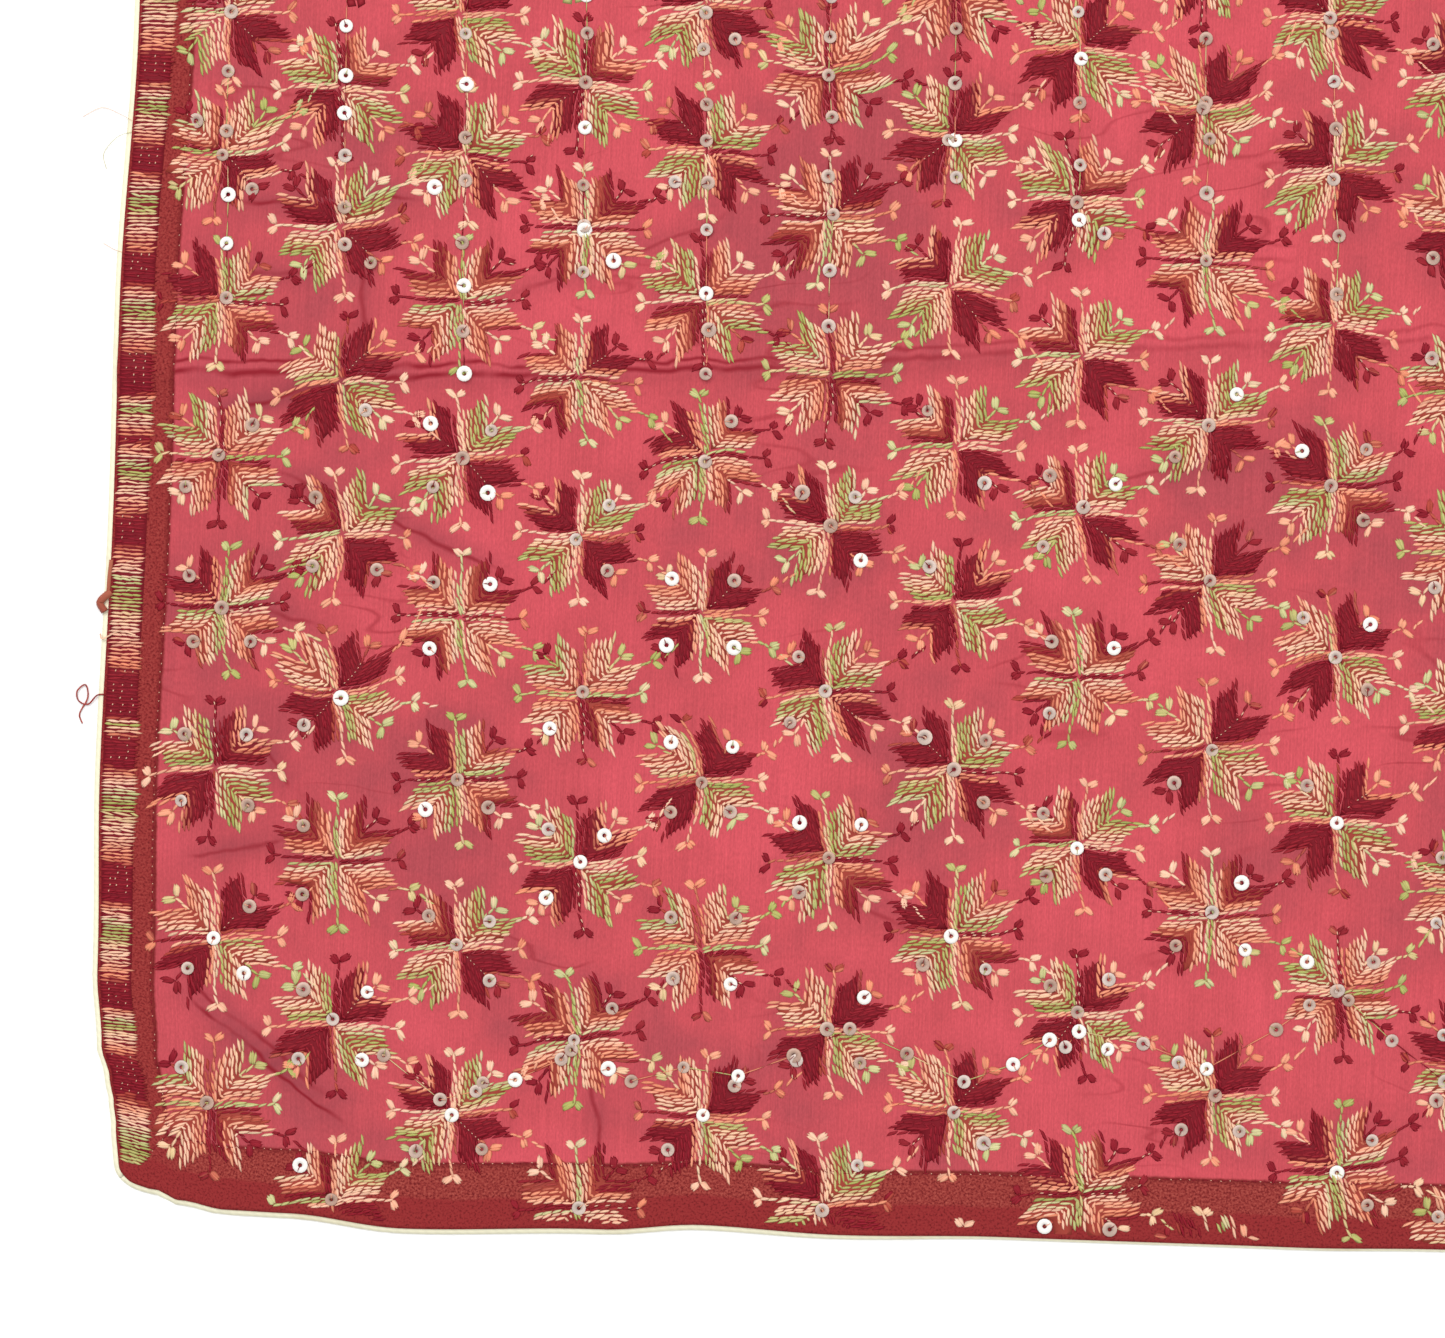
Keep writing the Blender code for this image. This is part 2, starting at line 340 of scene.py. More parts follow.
@dataclass(frozen=True)
class Lie:
    """How the shawl lies: its outline, its folds and creases, and its layers.

    The outline and the pressed folds repeat the solids' own sizes. The walls here are as thin
    as they can look: half a millimetre, and the hems lift the cloth by the same again.
    """

    low: tuple[float, float] = (CAD_BOX[0].x, CAD_BOX[0].y)
    shawl_width: float = CAD_BOX[1].x - CAD_BOX[0].x
    shawl_length: float = CAD_BOX[1].y - CAD_BOX[0].y
    tape_shows: float = 1.6 * MM
    wall: float = 0.5 * MM
    layer_gap: float = 0.1 * MM
    hem_depth: float = 18.0 * MM
    bottom_deeper: float = 3.0 * MM
    hem_step: float = 2.5 * MM
    corner_radius: float = 5.0 * MM
    ease_reach: float = 45.0 * MM
    off_square: float = 13.0 * MM
    off_square_wave: float = 0.95
    off_square_fade: float = 0.20
    fold_half_width: float = 4.5 * MM
    fold_fade: float = 0.160
    fold_faint: float = 0.35
    left: EdgeLine = EdgeLine(
        (0.000, 0.019, 0.028, 0.037, 0.050, 0.078, 0.150, 0.230, 0.300, 0.380,
         0.550, 0.900, 1.350, 1.800, 2.160, 2.200),
        (0.0110, 0.0094, 0.0084, 0.0069, 0.0039, 0.0017, 0.0, 0.0009, 0.0003, 0.0028,
         0.0012, 0.0030, 0.0008, 0.0026, 0.0016, 0.0036),
    )
    bottom: EdgeLine = EdgeLine(
        (0.000, 0.012, 0.021, 0.038, 0.060, 0.097, 0.160, 0.191, 0.233, 0.285, 0.376,
         0.424, 0.560, 0.740, 0.880, 0.920),
        (0.0115, 0.0090, 0.0060, 0.0036, 0.0033, 0.0, 0.0022, 0.0048, 0.0034, 0.0048, 0.0052,
         0.0064, 0.0048, 0.0026, 0.0038, 0.0070),
    )
    right: EdgeLine = EdgeLine(
        (0.000, 0.060, 0.420, 0.950, 1.450, 1.900, 2.200),
        (0.0052, 0.0022, 0.0, 0.0028, 0.0010, 0.0030, 0.0056),
    )
    top: EdgeLine = EdgeLine(
        (0.000, 0.060, 0.330, 0.600, 0.860, 0.920),
        (0.0046, 0.0018, 0.0, 0.0030, 0.0022, 0.0050),
    )
    cross_folds: tuple[Fold, ...] = (
        Fold(0.275, 1.5 * MM, 0.080, 0.250),
        Fold(0.550, 1.2 * MM, 0.500, 0.760),
        Fold(0.825, 1.5 * MM, 0.240, 0.520),
        Fold(1.100, 1.8 * MM, 0.120, 0.800),
        Fold(1.375, 1.2 * MM, 0.060, 0.300),
        Fold(1.650, 1.6 * MM, 0.420, 0.700),
        Fold(1.925, 1.2 * MM, 0.300, 0.480),
    )
    long_fold: Fold = Fold(0.460, 1.5 * MM, 0.500, 1.700)
    corner_creases: tuple[Crease, ...] = (
        Crease((28, 73), (79, 30), 1.1, 3.6),
        Crease((25, 81), (76, 39), 0.8, 3.4),
        Crease((21, 164), (49, 162), 1.0, 3.6),
        Crease((49, 162), (59, 144), 0.8, 3.4),
        Crease((49, 246), (74, 236), 0.7, 3.6),
        Crease((74, 236), (122, 215), 0.8, 4.0),
        Crease((33, 329), (92, 330), 0.9, 3.4),
        Crease((37, 306), (62, 306), 0.7, 3.4),
        Crease((75, 325), (77, 279), 0.6, 3.4),
        Crease((22, 262), (70, 272), 0.9, 3.6),
        Crease((156, 49), (160, 24), 0.7, 3.6),
        Crease((26, 120), (60, 128), 0.6, 4.2),
        Crease((30, 205), (66, 198), 0.6, 4.4),
        Crease((210, 118), (262, 96), 0.5, 5.0),
        Crease((300, 232), (366, 246), 0.5, 5.0),
        Crease((120, 300), (190, 322), 0.5, 4.6),
    )
    ripple: float = 0.10 * MM
    hidden_crease_count: int = 46
    hidden_crease_seed: int = 11

    @property
    def width(self) -> float:
        """The cloth's width without the edging that shows beside it."""
        return self.shawl_width - self.tape_shows

    @property
    def length(self) -> float:
        """The cloth's length without the edging that shows beyond it."""
        return self.shawl_length - self.tape_shows

    @property
    def hem_lift(self) -> float:
        """How far the turned hems raise the cloth."""
        return self.wall + self.layer_gap

    def felt(self, depth: Floats) -> Floats:
        """How much of an edge's drawing-in is felt this deep in the cloth."""
        return 1.0 / (1.0 + np.square(np.maximum(depth, 0.0) / self.ease_reach))

    def rounded(self, across: Floats, along: Floats) -> tuple[Floats, Floats]:
        """Bends the last stretch before a corner onto an arc about the corner's centre.

        Args:
            across: places across the cloth.
            along: places along it.

        Returns:
            The same places, moved so that squares about the arc's centre are circles.
        """
        right, far = across > self.width / 2, along > self.length / 2
        to_side = np.where(right, self.width - across, across)
        to_end = np.where(far, self.length - along, along)
        out = np.maximum(self.corner_radius - to_side, 0.0)
        down = np.maximum(self.corner_radius - to_end, 0.0)
        bent = (out > 0) & (down > 0)
        reach = np.where(bent, np.hypot(out, down), 1.0)
        shrink = np.where(bent, np.maximum(out, down) / reach, 1.0)
        to_side = np.where(bent, self.corner_radius - out * shrink, to_side)
        to_end = np.where(bent, self.corner_radius - down * shrink, to_end)
        return (
            np.where(right, self.width - to_side, to_side),
            np.where(far, self.length - to_end, to_end),
        )

    def pulls(self, across: Floats, along: Floats) -> tuple[Floats, Floats]:
        """How far the drawn-in edges and the lie off square move a place.

        Args:
            across: places across the cloth.
            along: places along it.

        Returns:
            The moves in x and in y.
        """
        x = self.left.at(along) * self.felt(across)
        x = x - self.right.at(along) * self.felt(self.width - across)
        y = self.bottom.at(across) * self.felt(along)
        y = y - self.top.at(across) * self.felt(self.length - along)
        inside = eased(along / self.off_square_fade)
        inside = inside * eased((self.length - along) / self.off_square_fade)
        y = y - self.off_square * inside * np.cos(FULL_TURN * across / self.off_square_wave)
        return x, y

    def settle(self, across: Floats, along: Floats) -> tuple[Floats, Floats]:
        """Finds where places on the cloth lie on the table.

        Args:
            across: places across the cloth.
            along: places along it.

        Returns:
            Their x and y.
        """
        x, y = self.rounded(across, along)
        pull_x, pull_y = self.pulls(across, along)
        shift = self.tape_shows
        return x + pull_x + shift + self.low[0], y + pull_y + shift + self.low[1]

    def laid(self, across: Floats, along: Floats) -> Floats:
        """The same x and y, as one row for each place."""
        return np.stack(self.settle(across, along), axis=-1).reshape(-1, 2)

    def unsettle(self, x: Floats, y: Floats) -> tuple[Floats, Floats]:
        """Finds what part of the cloth lies at a place on the table, in a few steps.

        Args:
            x: places to the right.
            y: places up the photograph.

        Returns:
            How far across and along the cloth they are.
        """
        across = x - self.low[0] - self.tape_shows
        along = y - self.low[1] - self.tape_shows
        flat_across, flat_along = across, along
        for _ in range(6):
            pull_x, pull_y = self.pulls(across, along)
            across, along = flat_across - pull_x, flat_along - pull_y
        return across, along

    def to_edge(self, across: Floats, along: Floats) -> Floats:
        """The distance to the nearest edge, counted on the cloth."""
        sides = np.minimum(across, self.width - across)
        return np.minimum(sides, np.minimum(along, self.length - along))

    def past_hem(self, across: Floats, along: Floats) -> Floats:
        """The distance from the nearest hem's inner line; the bottom hem is turned deeper."""
        edge = np.minimum(self.to_edge(across, along), along - self.bottom_deeper)
        return edge - self.hem_depth

    def hem_height(self, across: Floats, along: Floats) -> Floats:
        """How high the turned hems hold the cloth."""
        return self.hem_lift * (1.0 - eased(self.past_hem(across, along) / self.hem_step))

    def one_fold(self, fold: Fold, off: Floats, place: Floats) -> Floats:
        """The height of one pressed fold.

        Args:
            fold: the fold.
            off: the distance from its line.
            place: the place along it.

        Returns:
            The height at each place.
        """
        beyond = np.maximum(np.maximum(fold.sharp_from - place, place - fold.sharp_to), 0.0)
        sharp = self.fold_faint + (1 - self.fold_faint) * (1 - eased(beyond / self.fold_fade))
        return fold.height * sharp * bell(off / self.fold_half_width)

    def folds(self, across: Floats, along: Floats) -> Floats:
        """The height of all the pressed folds, run out straight over the hems.

        Args:
            across: places across the cloth.
            along: places along it.

        Returns:
            The height at each place.
        """
        inner = self.hem_depth
        across = np.clip(across, inner, self.width - inner)
        along = np.clip(along, inner, self.length - inner)
        tall = self.one_fold(self.long_fold, across - self.long_fold.at, along)
        for fold in self.cross_folds:
            tall = np.maximum(tall, self.one_fold(fold, along - fold.at, across))
        return tall

    def hidden_creases(self) -> list[Crease]:
        """Draws soft creases for the rest of the cloth, most of them by a long edge.

        Returns:
            The creases, with their places in millimetres.
        """
        rng = np.random.default_rng(self.hidden_crease_seed)
        made = []
        while len(made) < self.hidden_crease_count:
            across = rng.choice([rng.uniform(30, 110), rng.uniform(800, 890), rng.uniform(60, 860)])
            along = rng.uniform(30, 2160)
            if across < CORNER_ACROSS / MM and along < CORNER_ALONG / MM:
                continue
            reach, angle = rng.uniform(18, 75), rng.uniform(0, math.pi)
            stop = (across + reach * math.cos(angle), along + reach * math.sin(angle))
            made.append(Crease((across, along), stop, rng.uniform(0.5, 1.1), rng.uniform(8, 12)))
        return made

    def creases(self, across: Floats, along: Floats) -> Floats:
        """The height of all the soft creases, held flat over the hems.

        Args:
            across: places across the cloth.
            along: places along it.

        Returns:
            The height at each place.
        """
        tall = np.zeros_like(across)
        for crease in (*self.corner_creases, *self.hidden_creases()):
            tall = np.maximum(tall, crease.rise(across, along))
        return tall * self.free_of_hem(across, along)

    def free_of_hem(self, across: Floats, along: Floats) -> Floats:
        """How free the cloth is to puff up: not at all over the hems."""
        return eased(self.past_hem(across, along) / (4 * self.hem_step))

    def ripples(self, across: Floats, along: Floats) -> Floats:
        """Shallow puffs where the cloth isn't quite down, strongest along the left edge.

        Two waves cross, each bent by a slower one, and only their crests stand up.

        Args:
            across: places across the cloth.
            along: places along it.

        Returns:
            The height at each place.
        """
        waves = np.sin(across / 0.017 + 2.1 * np.sin(along / 0.043))
        waves = waves + np.sin(along / 0.023 + 1.7 * np.sin(across / 0.061) + 0.6)
        near_left = 0.30 + 0.70 * np.exp(-across / 0.060)
        crests = np.maximum(waves + 0.4, 0.0)
        return self.ripple * near_left * self.free_of_hem(across, along) * crests


@dataclass
class Drape:
    """The cloth's surface as a net of lines, and heights on it for what is sewn on.

    The net is fine in the corner that the photograph shows and wider elsewhere, with lines
    of their own along the hems and the pressed folds.
    """

    lie: Lie
    fine: float = 3.3 * MM
    wide: float = 19.0 * MM
    closest: float = 0.3 * MM
    columns: Floats = field(init=False)
    rows: Floats = field(init=False)
    under: Floats = field(init=False)

    def __post_init__(self) -> None:
        """Works out the net's lines and the cloth's height on them."""
        lie = self.lie
        self.columns = self.lines(CORNER_ACROSS, lie.width, (lie.long_fold,))
        self.rows = self.lines(CORNER_ALONG, lie.length, lie.cross_folds)
        across, along = np.meshgrid(self.columns, self.rows)
        self.under = lie.hem_height(across, along) + lie.folds(across, along)
        self.under += lie.creases(across, along) + lie.ripples(across, along)

    def lines(self, fine_to: float, end: float, folds: tuple[Fold, ...]) -> Floats:
        """The net's lines in one direction.

        Args:
            fine_to: where the fine lines stop.
            end: the far edge.
            folds: the pressed folds that the lines cross.

        Returns:
            The places of the lines, from 0 to end.
        """
        lie = self.lie
        near = np.linspace(0.0, fine_to, round(fine_to / self.fine) + 1)
        far = np.linspace(fine_to, end, round((end - fine_to) / self.wide) + 1)
        hem = np.array([0.0, 0.5, 1.0]) * lie.hem_step + lie.hem_depth
        edge = np.array([0.0, 0.25, 0.5, 0.75, 1.0]) * lie.corner_radius
        shape = np.array([-2.0, -1.0, -0.5, 0.0, 0.5, 1.0, 2.0]) * lie.fold_half_width
        extra = [hem, end - hem, edge, end - edge, *(fold.at + shape for fold in folds)]
        lines = np.unique(np.round(np.concatenate([near, far, *extra]), 5))
        lines = lines[(lines >= 0.0) & (lines <= end)]
        keep = np.concatenate([[True], np.diff(lines) > self.closest])
        keep[-1] = True
        lines[-1] = end
        return lines[keep]

    def top(self, across: Floats, along: Floats) -> Floats:
        """The height of the cloth's face, as flat as it is between the net's lines.

        Args:
            across: places across the cloth.
            along: places along it.

        Returns:
            The height at each place.
        """
        i = np.clip(np.searchsorted(self.columns, across) - 1, 0, len(self.columns) - 2)
        j = np.clip(np.searchsorted(self.rows, along) - 1, 0, len(self.rows) - 2)
        s = (across - self.columns[i]) / (self.columns[i + 1] - self.columns[i])
        t = (along - self.rows[j]) / (self.rows[j + 1] - self.rows[j])
        s, t = np.clip(s, 0.0, 1.0), np.clip(t, 0.0, 1.0)
        low = self.under[j, i] * (1 - s) + self.under[j, i + 1] * s
        high = self.under[j + 1, i] * (1 - s) + self.under[j + 1, i + 1] * s
        return low * (1 - t) + high * t + self.lie.wall

    def top_at(self, x: Floats, y: Floats) -> Floats:
        """The height of the cloth's face at an x and y."""
        return self.top(*self.lie.unsettle(x, y))


def grid_faces(rows: int, columns: int, first: int, up: bool) -> Ints:
    """Four-sided faces between the points of a grid.

    Args:
        rows: how many rows of points.
        columns: how many points in a row.
        first: the number of the grid's first point.
        up: whether the faces look up or down.

    Returns:
        The point numbers of each face.
    """
    start = first + np.arange(rows - 1)[:, None] * columns + np.arange(columns - 1)[None, :]
    a = start.ravel()
    order = (a, a + 1, a + columns + 1, a + columns)
    return np.stack(order if up else order[::-1], axis=1)


def rim_of(rows: int, columns: int) -> tuple[Ints, Ints]:
    """Goes round the rim of a grid of points.

    Args:
        rows: how many rows of points.
        columns: how many points in a row.

    Returns:
        The number of each point on the rim, and of the one that follows it.
    """
    number = np.arange(rows * columns).reshape(rows, columns)
    rim = np.concatenate([number[0, :-1], number[:-1, -1], number[-1, :0:-1], number[:0:-1, 0]])
    return rim, np.roll(rim, -1)


def shell(name: str, lie: Lie, across: Floats, along: Floats, under: Floats, wall: float) -> Mesh:
    """A closed thin wall of cloth over a grid of places.

    The points are a grid for the face, a grid for the underside below it, and faces that close
    the rim between them. Its map "flat" holds each point's place on the cloth in metres.

    Args:
        name: the mesh's name.
        lie: how the cloth lies.
        across: the places across the cloth, as rows and columns.
        along: the places along it.
        under: the height of the underside.
        wall: the cloth's thickness.

    Returns:
        The mesh.
    """
    rows, columns = across.shape
    x, y = lie.settle(across, along)
    face = np.stack([x, y, under + wall], axis=-1).reshape(-1, 3)
    back = np.stack([x, y, under], axis=-1).reshape(-1, 3)
    count = rows * columns
    rim, following = rim_of(rows, columns)
    sides = np.stack([rim, rim + count, following + count, following], axis=1)
    faces = [grid_faces(rows, columns, 0, True), grid_faces(rows, columns, count, False), sides]
    mesh = mesh_of(name, np.concatenate([face, back]), faces)
    flat = np.stack([across, along], axis=-1).reshape(-1, 2)
    map_points(mesh, "flat", np.concatenate([flat, flat]))
    return mesh


# Finishes


@dataclass(frozen=True)
class Georgette:
    """Sheer silk-like georgette, crepe-twisted and piece-dyed rose red.

    The fine crepe gives a matt face with upright streaks. Clouds of painted light and shade
    stand for where the sheer cloth lies down on the pale table and glows pinker, and where it is
    shaded; where it lifts, and in creases and wrinkles, it is darkened as painted shade. Where it
    lies double over the hems it is deeper. The numbers of a range are where it starts and ends
    in what it reads, and in what it gives.
    """

    # Painted light and shade: a pinker glow and a duller red about the rose in the clouds, a deeper red
    # where the cloth lifts off the table, and the dark line in a crease
    glow: str = "#d5555f"
    rose: str = "#c95058"
    dull_shade: str = "#b34b53"
    lift_shade: str = "#883a43"
    crease: str = "#8a1c28"
    hem_light: str = "#aa5046"
    hem_mottled: str = "#933632"
    hem_plain: str = "#922c2e"
    hem_dark: str = "#6c1c1e"
    roughness: float = 0.85
    specular: float = 0.12
    # Clouds of painted light and shade some centimetres wide, and the smaller ones' share
    clouds: Grain = Grain(11.0, 3.0)
    small_clouds: Grain = Grain(70.0, 4.0)
    small_share: float = 0.35
    # Warp streaks 0.55 mm wide: how much they are shortened along the cloth, and their light
    streak: Grain = Grain(1.0 / (0.55 * MM), 2.0, 0.6)
    streak_range: tuple[float, float] = (0.25, 0.75)
    streak_kinds: tuple[tuple[float, float, float], ...] = ((0.025, 0.88, 1.11), (0.40, 0.86, 1.14))
    # Painted crease shade lines: how they sway, where they break up and how they fade to the right
    fold_spacing: float = 275.0 * MM
    crease_half_width: float = 0.55 * MM
    sway: Grain = Grain(34.0, 3.0)
    gaps: Grain = Grain(55.0)
    gap_range: tuple[float, ...] = (0.36, 0.50, 0.40)
    fade_range: tuple[float, ...] = (0.17, 0.30, 1.0, 0.35)
    fold_sway: float = 9.0 * MM
    second_line: float = -3.4 * MM
    second_sway: float = 15.0 * MM
    crease_sway: float = 11.0 * MM
    # Hair-thin wrinkles of painted shade: the hills whose level lines they follow, and the patches they lie
    # in
    hills: Grain = Grain(58.0, 1.5)
    hills_drawn: tuple[float, float, float] = (0.34, 1.0, 1.0)
    wrinkle_shade_range: tuple[float, ...] = (0.002, 0.016, 0.45, 0.0)
    patches: Grain = Grain(16.0)
    patch_range: tuple[float, float] = (0.55, 0.66)
    # The double cloth of the hems, with a raw edge that wanders 4 mm and a soft inner line that
    # is partly painted shadow at the hem's edge
    weave: Grain = Grain(1300.0, 2.0, 0.7)
    raw_wander: Grain = Grain(60.0)
    raw_reach: float = 4.0 * MM
    raw_range: tuple[float, float] = (6.0 * MM, 7.0 * MM)
    left_mottle: float = 0.45
    seam_shadow_range: tuple[float, ...] = (0.0, 1.6 * MM, 0.75, 0.0)
    fuzz: Grain = Grain(420.0)
    fuzz_reach: float = 0.8 * MM
    # The crepe of the twisted yarns, drawn twice as coarse as the real 0.4 mm
    crepe: Grain = Grain(1250.0)
    crepe_bump: tuple[float, float] = (0.25, 0.15 * MM)

    def make(self, lie: Lie) -> Material:
        """Builds the material from the cloth's own places.

        Args:
            lie: how the cloth lies, for the hems' depth.

        Returns:
            The material.
        """
        made = Recipe("georgette_rose_red")
        flat = made.add("UVMap", uv_map="flat")
        across = made.add("SeparateXYZ", (flat,))
        along = across.node.outputs[1]
        cloth = self.streaked(made, flat, self.ground_colour(made, flat))
        # The lift value darkens the colour as painted shade where the cloth lifts, and the crease lines add
        # painted shade in creases
        lift = made.add("Attribute", attribute_name="lift").node.outputs["Fac"]
        cloth = made.add("MixRGB", (lift, cloth, linear(self.lift_shade)))
        lines = self.crease_shade_lines(made, lie, flat, across, along)
        cloth = made.add("MixRGB", (lines, cloth, linear(self.crease)))
        edge = self.edge_distance(made, lie, across, along)
        hem = self.hem_colour(made, lie, flat, edge, across)
        fuzz = made.add("TexNoise", self.fuzz.on(flat))
        reach = (fuzz, self.fuzz_reach, -self.fuzz_reach / 2)
        ragged = made.add("Math", reach, operation="MULTIPLY_ADD")
        inner = made.add("Math", (edge, ragged), operation="ADD")
        ends = (lie.hem_depth - 0.3 * MM, lie.hem_depth + 0.5 * MM, 1.0, 0.0)
        is_hem = made.add("MapRange", (inner, *ends))
        grain = made.add("TexNoise", self.crepe.on(flat))
        strength, distance = self.crepe_bump
        bump = {"Height": grain, "Strength": strength, "Distance": distance}
        return made.finish({
            "Base Color": made.add("MixRGB", (is_hem, cloth, hem)),
            "Roughness": self.roughness,
            "Specular IOR Level": self.specular,
            "Normal": made.add("Bump", bump),
        })

    def crease_shade_lines(
        self, made: Recipe, lie: Lie, flat: Socket, across: Socket, along: Socket
    ) -> Socket:
        """Thin dark lines of painted shade where the sheer cloth doubles: pressed folds, creases and
        wrinkles.

        Args:
            made: the material.
            lie: how the cloth lies, for its creases.
            flat: places on the cloth.
            across: the same places' first number.
            along: the same places' second number.

        Returns:
            How much of the dark line shows at each place, from 0 to 1.
        """
        width, half = self.crease_half_width, self.fold_spacing / 2
        slow = made.add("TexNoise", self.sway.on(flat))
        wander = made.add("Math", (slow, CENTRE), operation="SUBTRACT")
        broken = made.add("TexNoise", self.gaps.on(flat))
        shown = made.add("MapRange", (broken, *self.gap_range))
        pressed = made.add("Math", (along, half, -half), operation="WRAP")
        found = self.thin_line(made, pressed, wander, self.fold_sway, 1.3 * width)
        second = made.add("Math", (pressed, self.second_line), operation="ADD")
        second = self.thin_line(made, second, wander, self.second_sway, width)
        found = made.add("Math", (found, second), operation="MAXIMUM")
        fading = made.add("MapRange", (across, *self.fade_range))
        found = made.add("Math", (found, fading), operation="MULTIPLY")
        upright = made.add("Math", (across, lie.long_fold.at), operation="SUBTRACT")
        upright = self.thin_line(made, upright, wander, self.fold_sway, width)
        found = made.add("Math", (found, upright), operation="MAXIMUM")
        for crease in lie.corner_creases:
            start, stop = np.array(crease.start) * MM, np.array(crease.stop) * MM
            length = float(np.linalg.norm(stop - start))
            way = (stop - start) / length
            middle = (*((start + stop) / 2), 0.0)
            off = made.add("VectorMath", (flat, middle), operation="SUBTRACT")
            reach, beside = (
                made.add("VectorMath", (off, (*axis, 0.0)), operation="DOT_PRODUCT").node.outputs["Value"]
                for axis in (way, (-way[1], way[0]))
            )
            reach = made.add("Math", (reach,), operation="ABSOLUTE")
            ends = (length * 0.35, length * 0.5, min(1.0, crease.height), 0.0)
            inside = made.add("MapRange", (reach, *ends))
            line = self.thin_line(made, beside, wander, self.crease_sway, width)
            line = made.add("Math", (line, inside), operation="MULTIPLY")
            found = made.add("Math", (found, line), operation="MAXIMUM")
        found = made.add("Math", (found, shown), operation="MULTIPLY")
        return made.add("Math", (found, self.wrinkle_shade(made, flat)), operation="MAXIMUM")

    def thin_line(
        self, made: Recipe, off: Socket, wander: Socket, sway: float, width: float
    ) -> Socket:
        """A soft-edged line where a distance, swayed by a slow noise, is near nothing.

        Args:
            made: the material.
            off: the distance from the line.
            wander: the noise.
            sway: how far the noise moves the line.
            width: half the line's width.

        Returns:
            How much of the line shows.
        """
        moved = made.add("Math", (wander, sway, off), operation="MULTIPLY_ADD")
        moved = made.add("Math", (moved,), operation="ABSOLUTE")
        return made.add("MapRange", (moved, 0.35 * width, 2.0 * width, 0.95, 0.0))

    def wrinkle_shade(self, made: Recipe, flat: Socket) -> Socket:
        """Hair-thin wrinkles of painted shade in patches: the level lines of a noise drawn out across the
        cloth.

        Args:
            made: the material.
            flat: places on the cloth.

        Returns:
            How much of a wrinkle shows.
        """
        drawn = made.add("Mapping", {"Vector": flat, "Scale": self.hills_drawn})
        level = made.add("TexNoise", self.hills.on(drawn))
        level = made.add("Math", (level, CENTRE), operation="SUBTRACT")
        level = made.add("Math", (level,), operation="ABSOLUTE")
        line = made.add("MapRange", (level, *self.wrinkle_shade_range))
        patch = made.add("TexNoise", self.patches.on(flat))
        here = made.add("MapRange", (patch, *self.patch_range))
        return made.add("Math", (line, here), operation="MULTIPLY")

    def ground_colour(self, made: Recipe, flat: Socket) -> Socket:
        """Clouds of painted light and shade, some centimetres wide: a pinker glow and a duller red.

        Args:
            made: the material.
            flat: places on the cloth.

        Returns:
            The colour.
        """
        broad = made.add("TexNoise", self.clouds.on(flat))
        small = made.add("TexNoise", self.small_clouds.on(flat))
        both = made.add("Math", (small, self.small_share, broad), operation="MULTIPLY_ADD")
        return made.add("ValToRGB", (both,), ((0.52, self.dull_shade), (0.66, self.rose), (0.80, self.glow)))

    def streaked(self, made: Recipe, flat: Socket, colour: Socket) -> Socket:
        """Upright warp streaks, noise drawn out forty times along the cloth, and short flecks.

        Args:
            made: the material.
            flat: places on the cloth.
            colour: the plain colour.

        Returns:
            The colour with its streaks.
        """
        for shortened, *light in self.streak_kinds:
            drawn = made.add("Mapping", {"Vector": flat, "Scale": (1.0, shortened, 1.0)})
            streaks = made.add("TexNoise", self.streak.on(drawn))
            level = made.add("MapRange", (streaks, *self.streak_range, *light))
            colour = made.add("VectorMath", {0: colour, "Scale": level}, operation="SCALE")
        return colour

    def edge_distance(self, made: Recipe, lie: Lie, across: Socket, along: Socket) -> Socket:
        """The distance to the nearest edge, short of it at the bottom by that hem's extra depth.

        Args:
            made: the material.
            lie: how the cloth lies, for its size.
            across: places across the cloth.
            along: places along it.

        Returns:
            The distance in metres.
        """
        nearest = across
        for ends in ((lie.width, across), (along, lie.bottom_deeper), (lie.length, along)):
            side = made.add("Math", ends, operation="SUBTRACT")
            nearest = made.add("Math", (nearest, side), operation="MINIMUM")
        return nearest

    def hem_colour(
        self, made: Recipe, lie: Lie, flat: Socket, edge: Socket, across: Socket
    ) -> Socket:
        """The double cloth of a hem: mottled, less so at the left, with its raw edge and a seam line
        that is partly painted shadow.

        Args:
            made: the material.
            lie: how the cloth lies, for the hems' depth.
            flat: places on the cloth.
            edge: their distance from the nearest edge.
            across: their distance from the left edge.

        Returns:
            The colour.
        """
        weave = made.add("TexNoise", self.weave.on(flat))
        dark, middle, light = self.hem_dark, self.hem_mottled, self.hem_light
        mottled = made.add("ValToRGB", (weave,), ((0.36, dark), (0.5, middle), (0.68, light)))
        plain = made.add("ValToRGB", (weave,), ((0.34, dark), (0.5, self.hem_plain), (0.8, middle)))
        wander = made.add("TexNoise", self.raw_wander.on(flat))
        reach = (wander, self.raw_reach, -self.raw_reach / 2)
        wander = made.add("Math", reach, operation="MULTIPLY_ADD")
        raw = made.add("Math", (edge, wander), operation="ADD")
        inside = made.add("MapRange", (raw, *self.raw_range))
        depth = lie.hem_depth
        by_left = made.add("MapRange", (across, depth, 1.5 * depth, self.left_mottle))
        inside = made.add("Math", (inside, by_left), operation="MULTIPLY")
        hem = made.add("MixRGB", (inside, plain, mottled))
        # The dark seam line at the hem's inner edge, partly painted shadow
        seam = made.add("Math", (edge, depth - 0.4 * MM), operation="SUBTRACT")
        seam = made.add("Math", (seam,), operation="ABSOLUTE")
        seam = made.add("MapRange", (seam, *self.seam_shadow_range))
        return made.add("MixRGB", (seam, hem, linear(dark)))


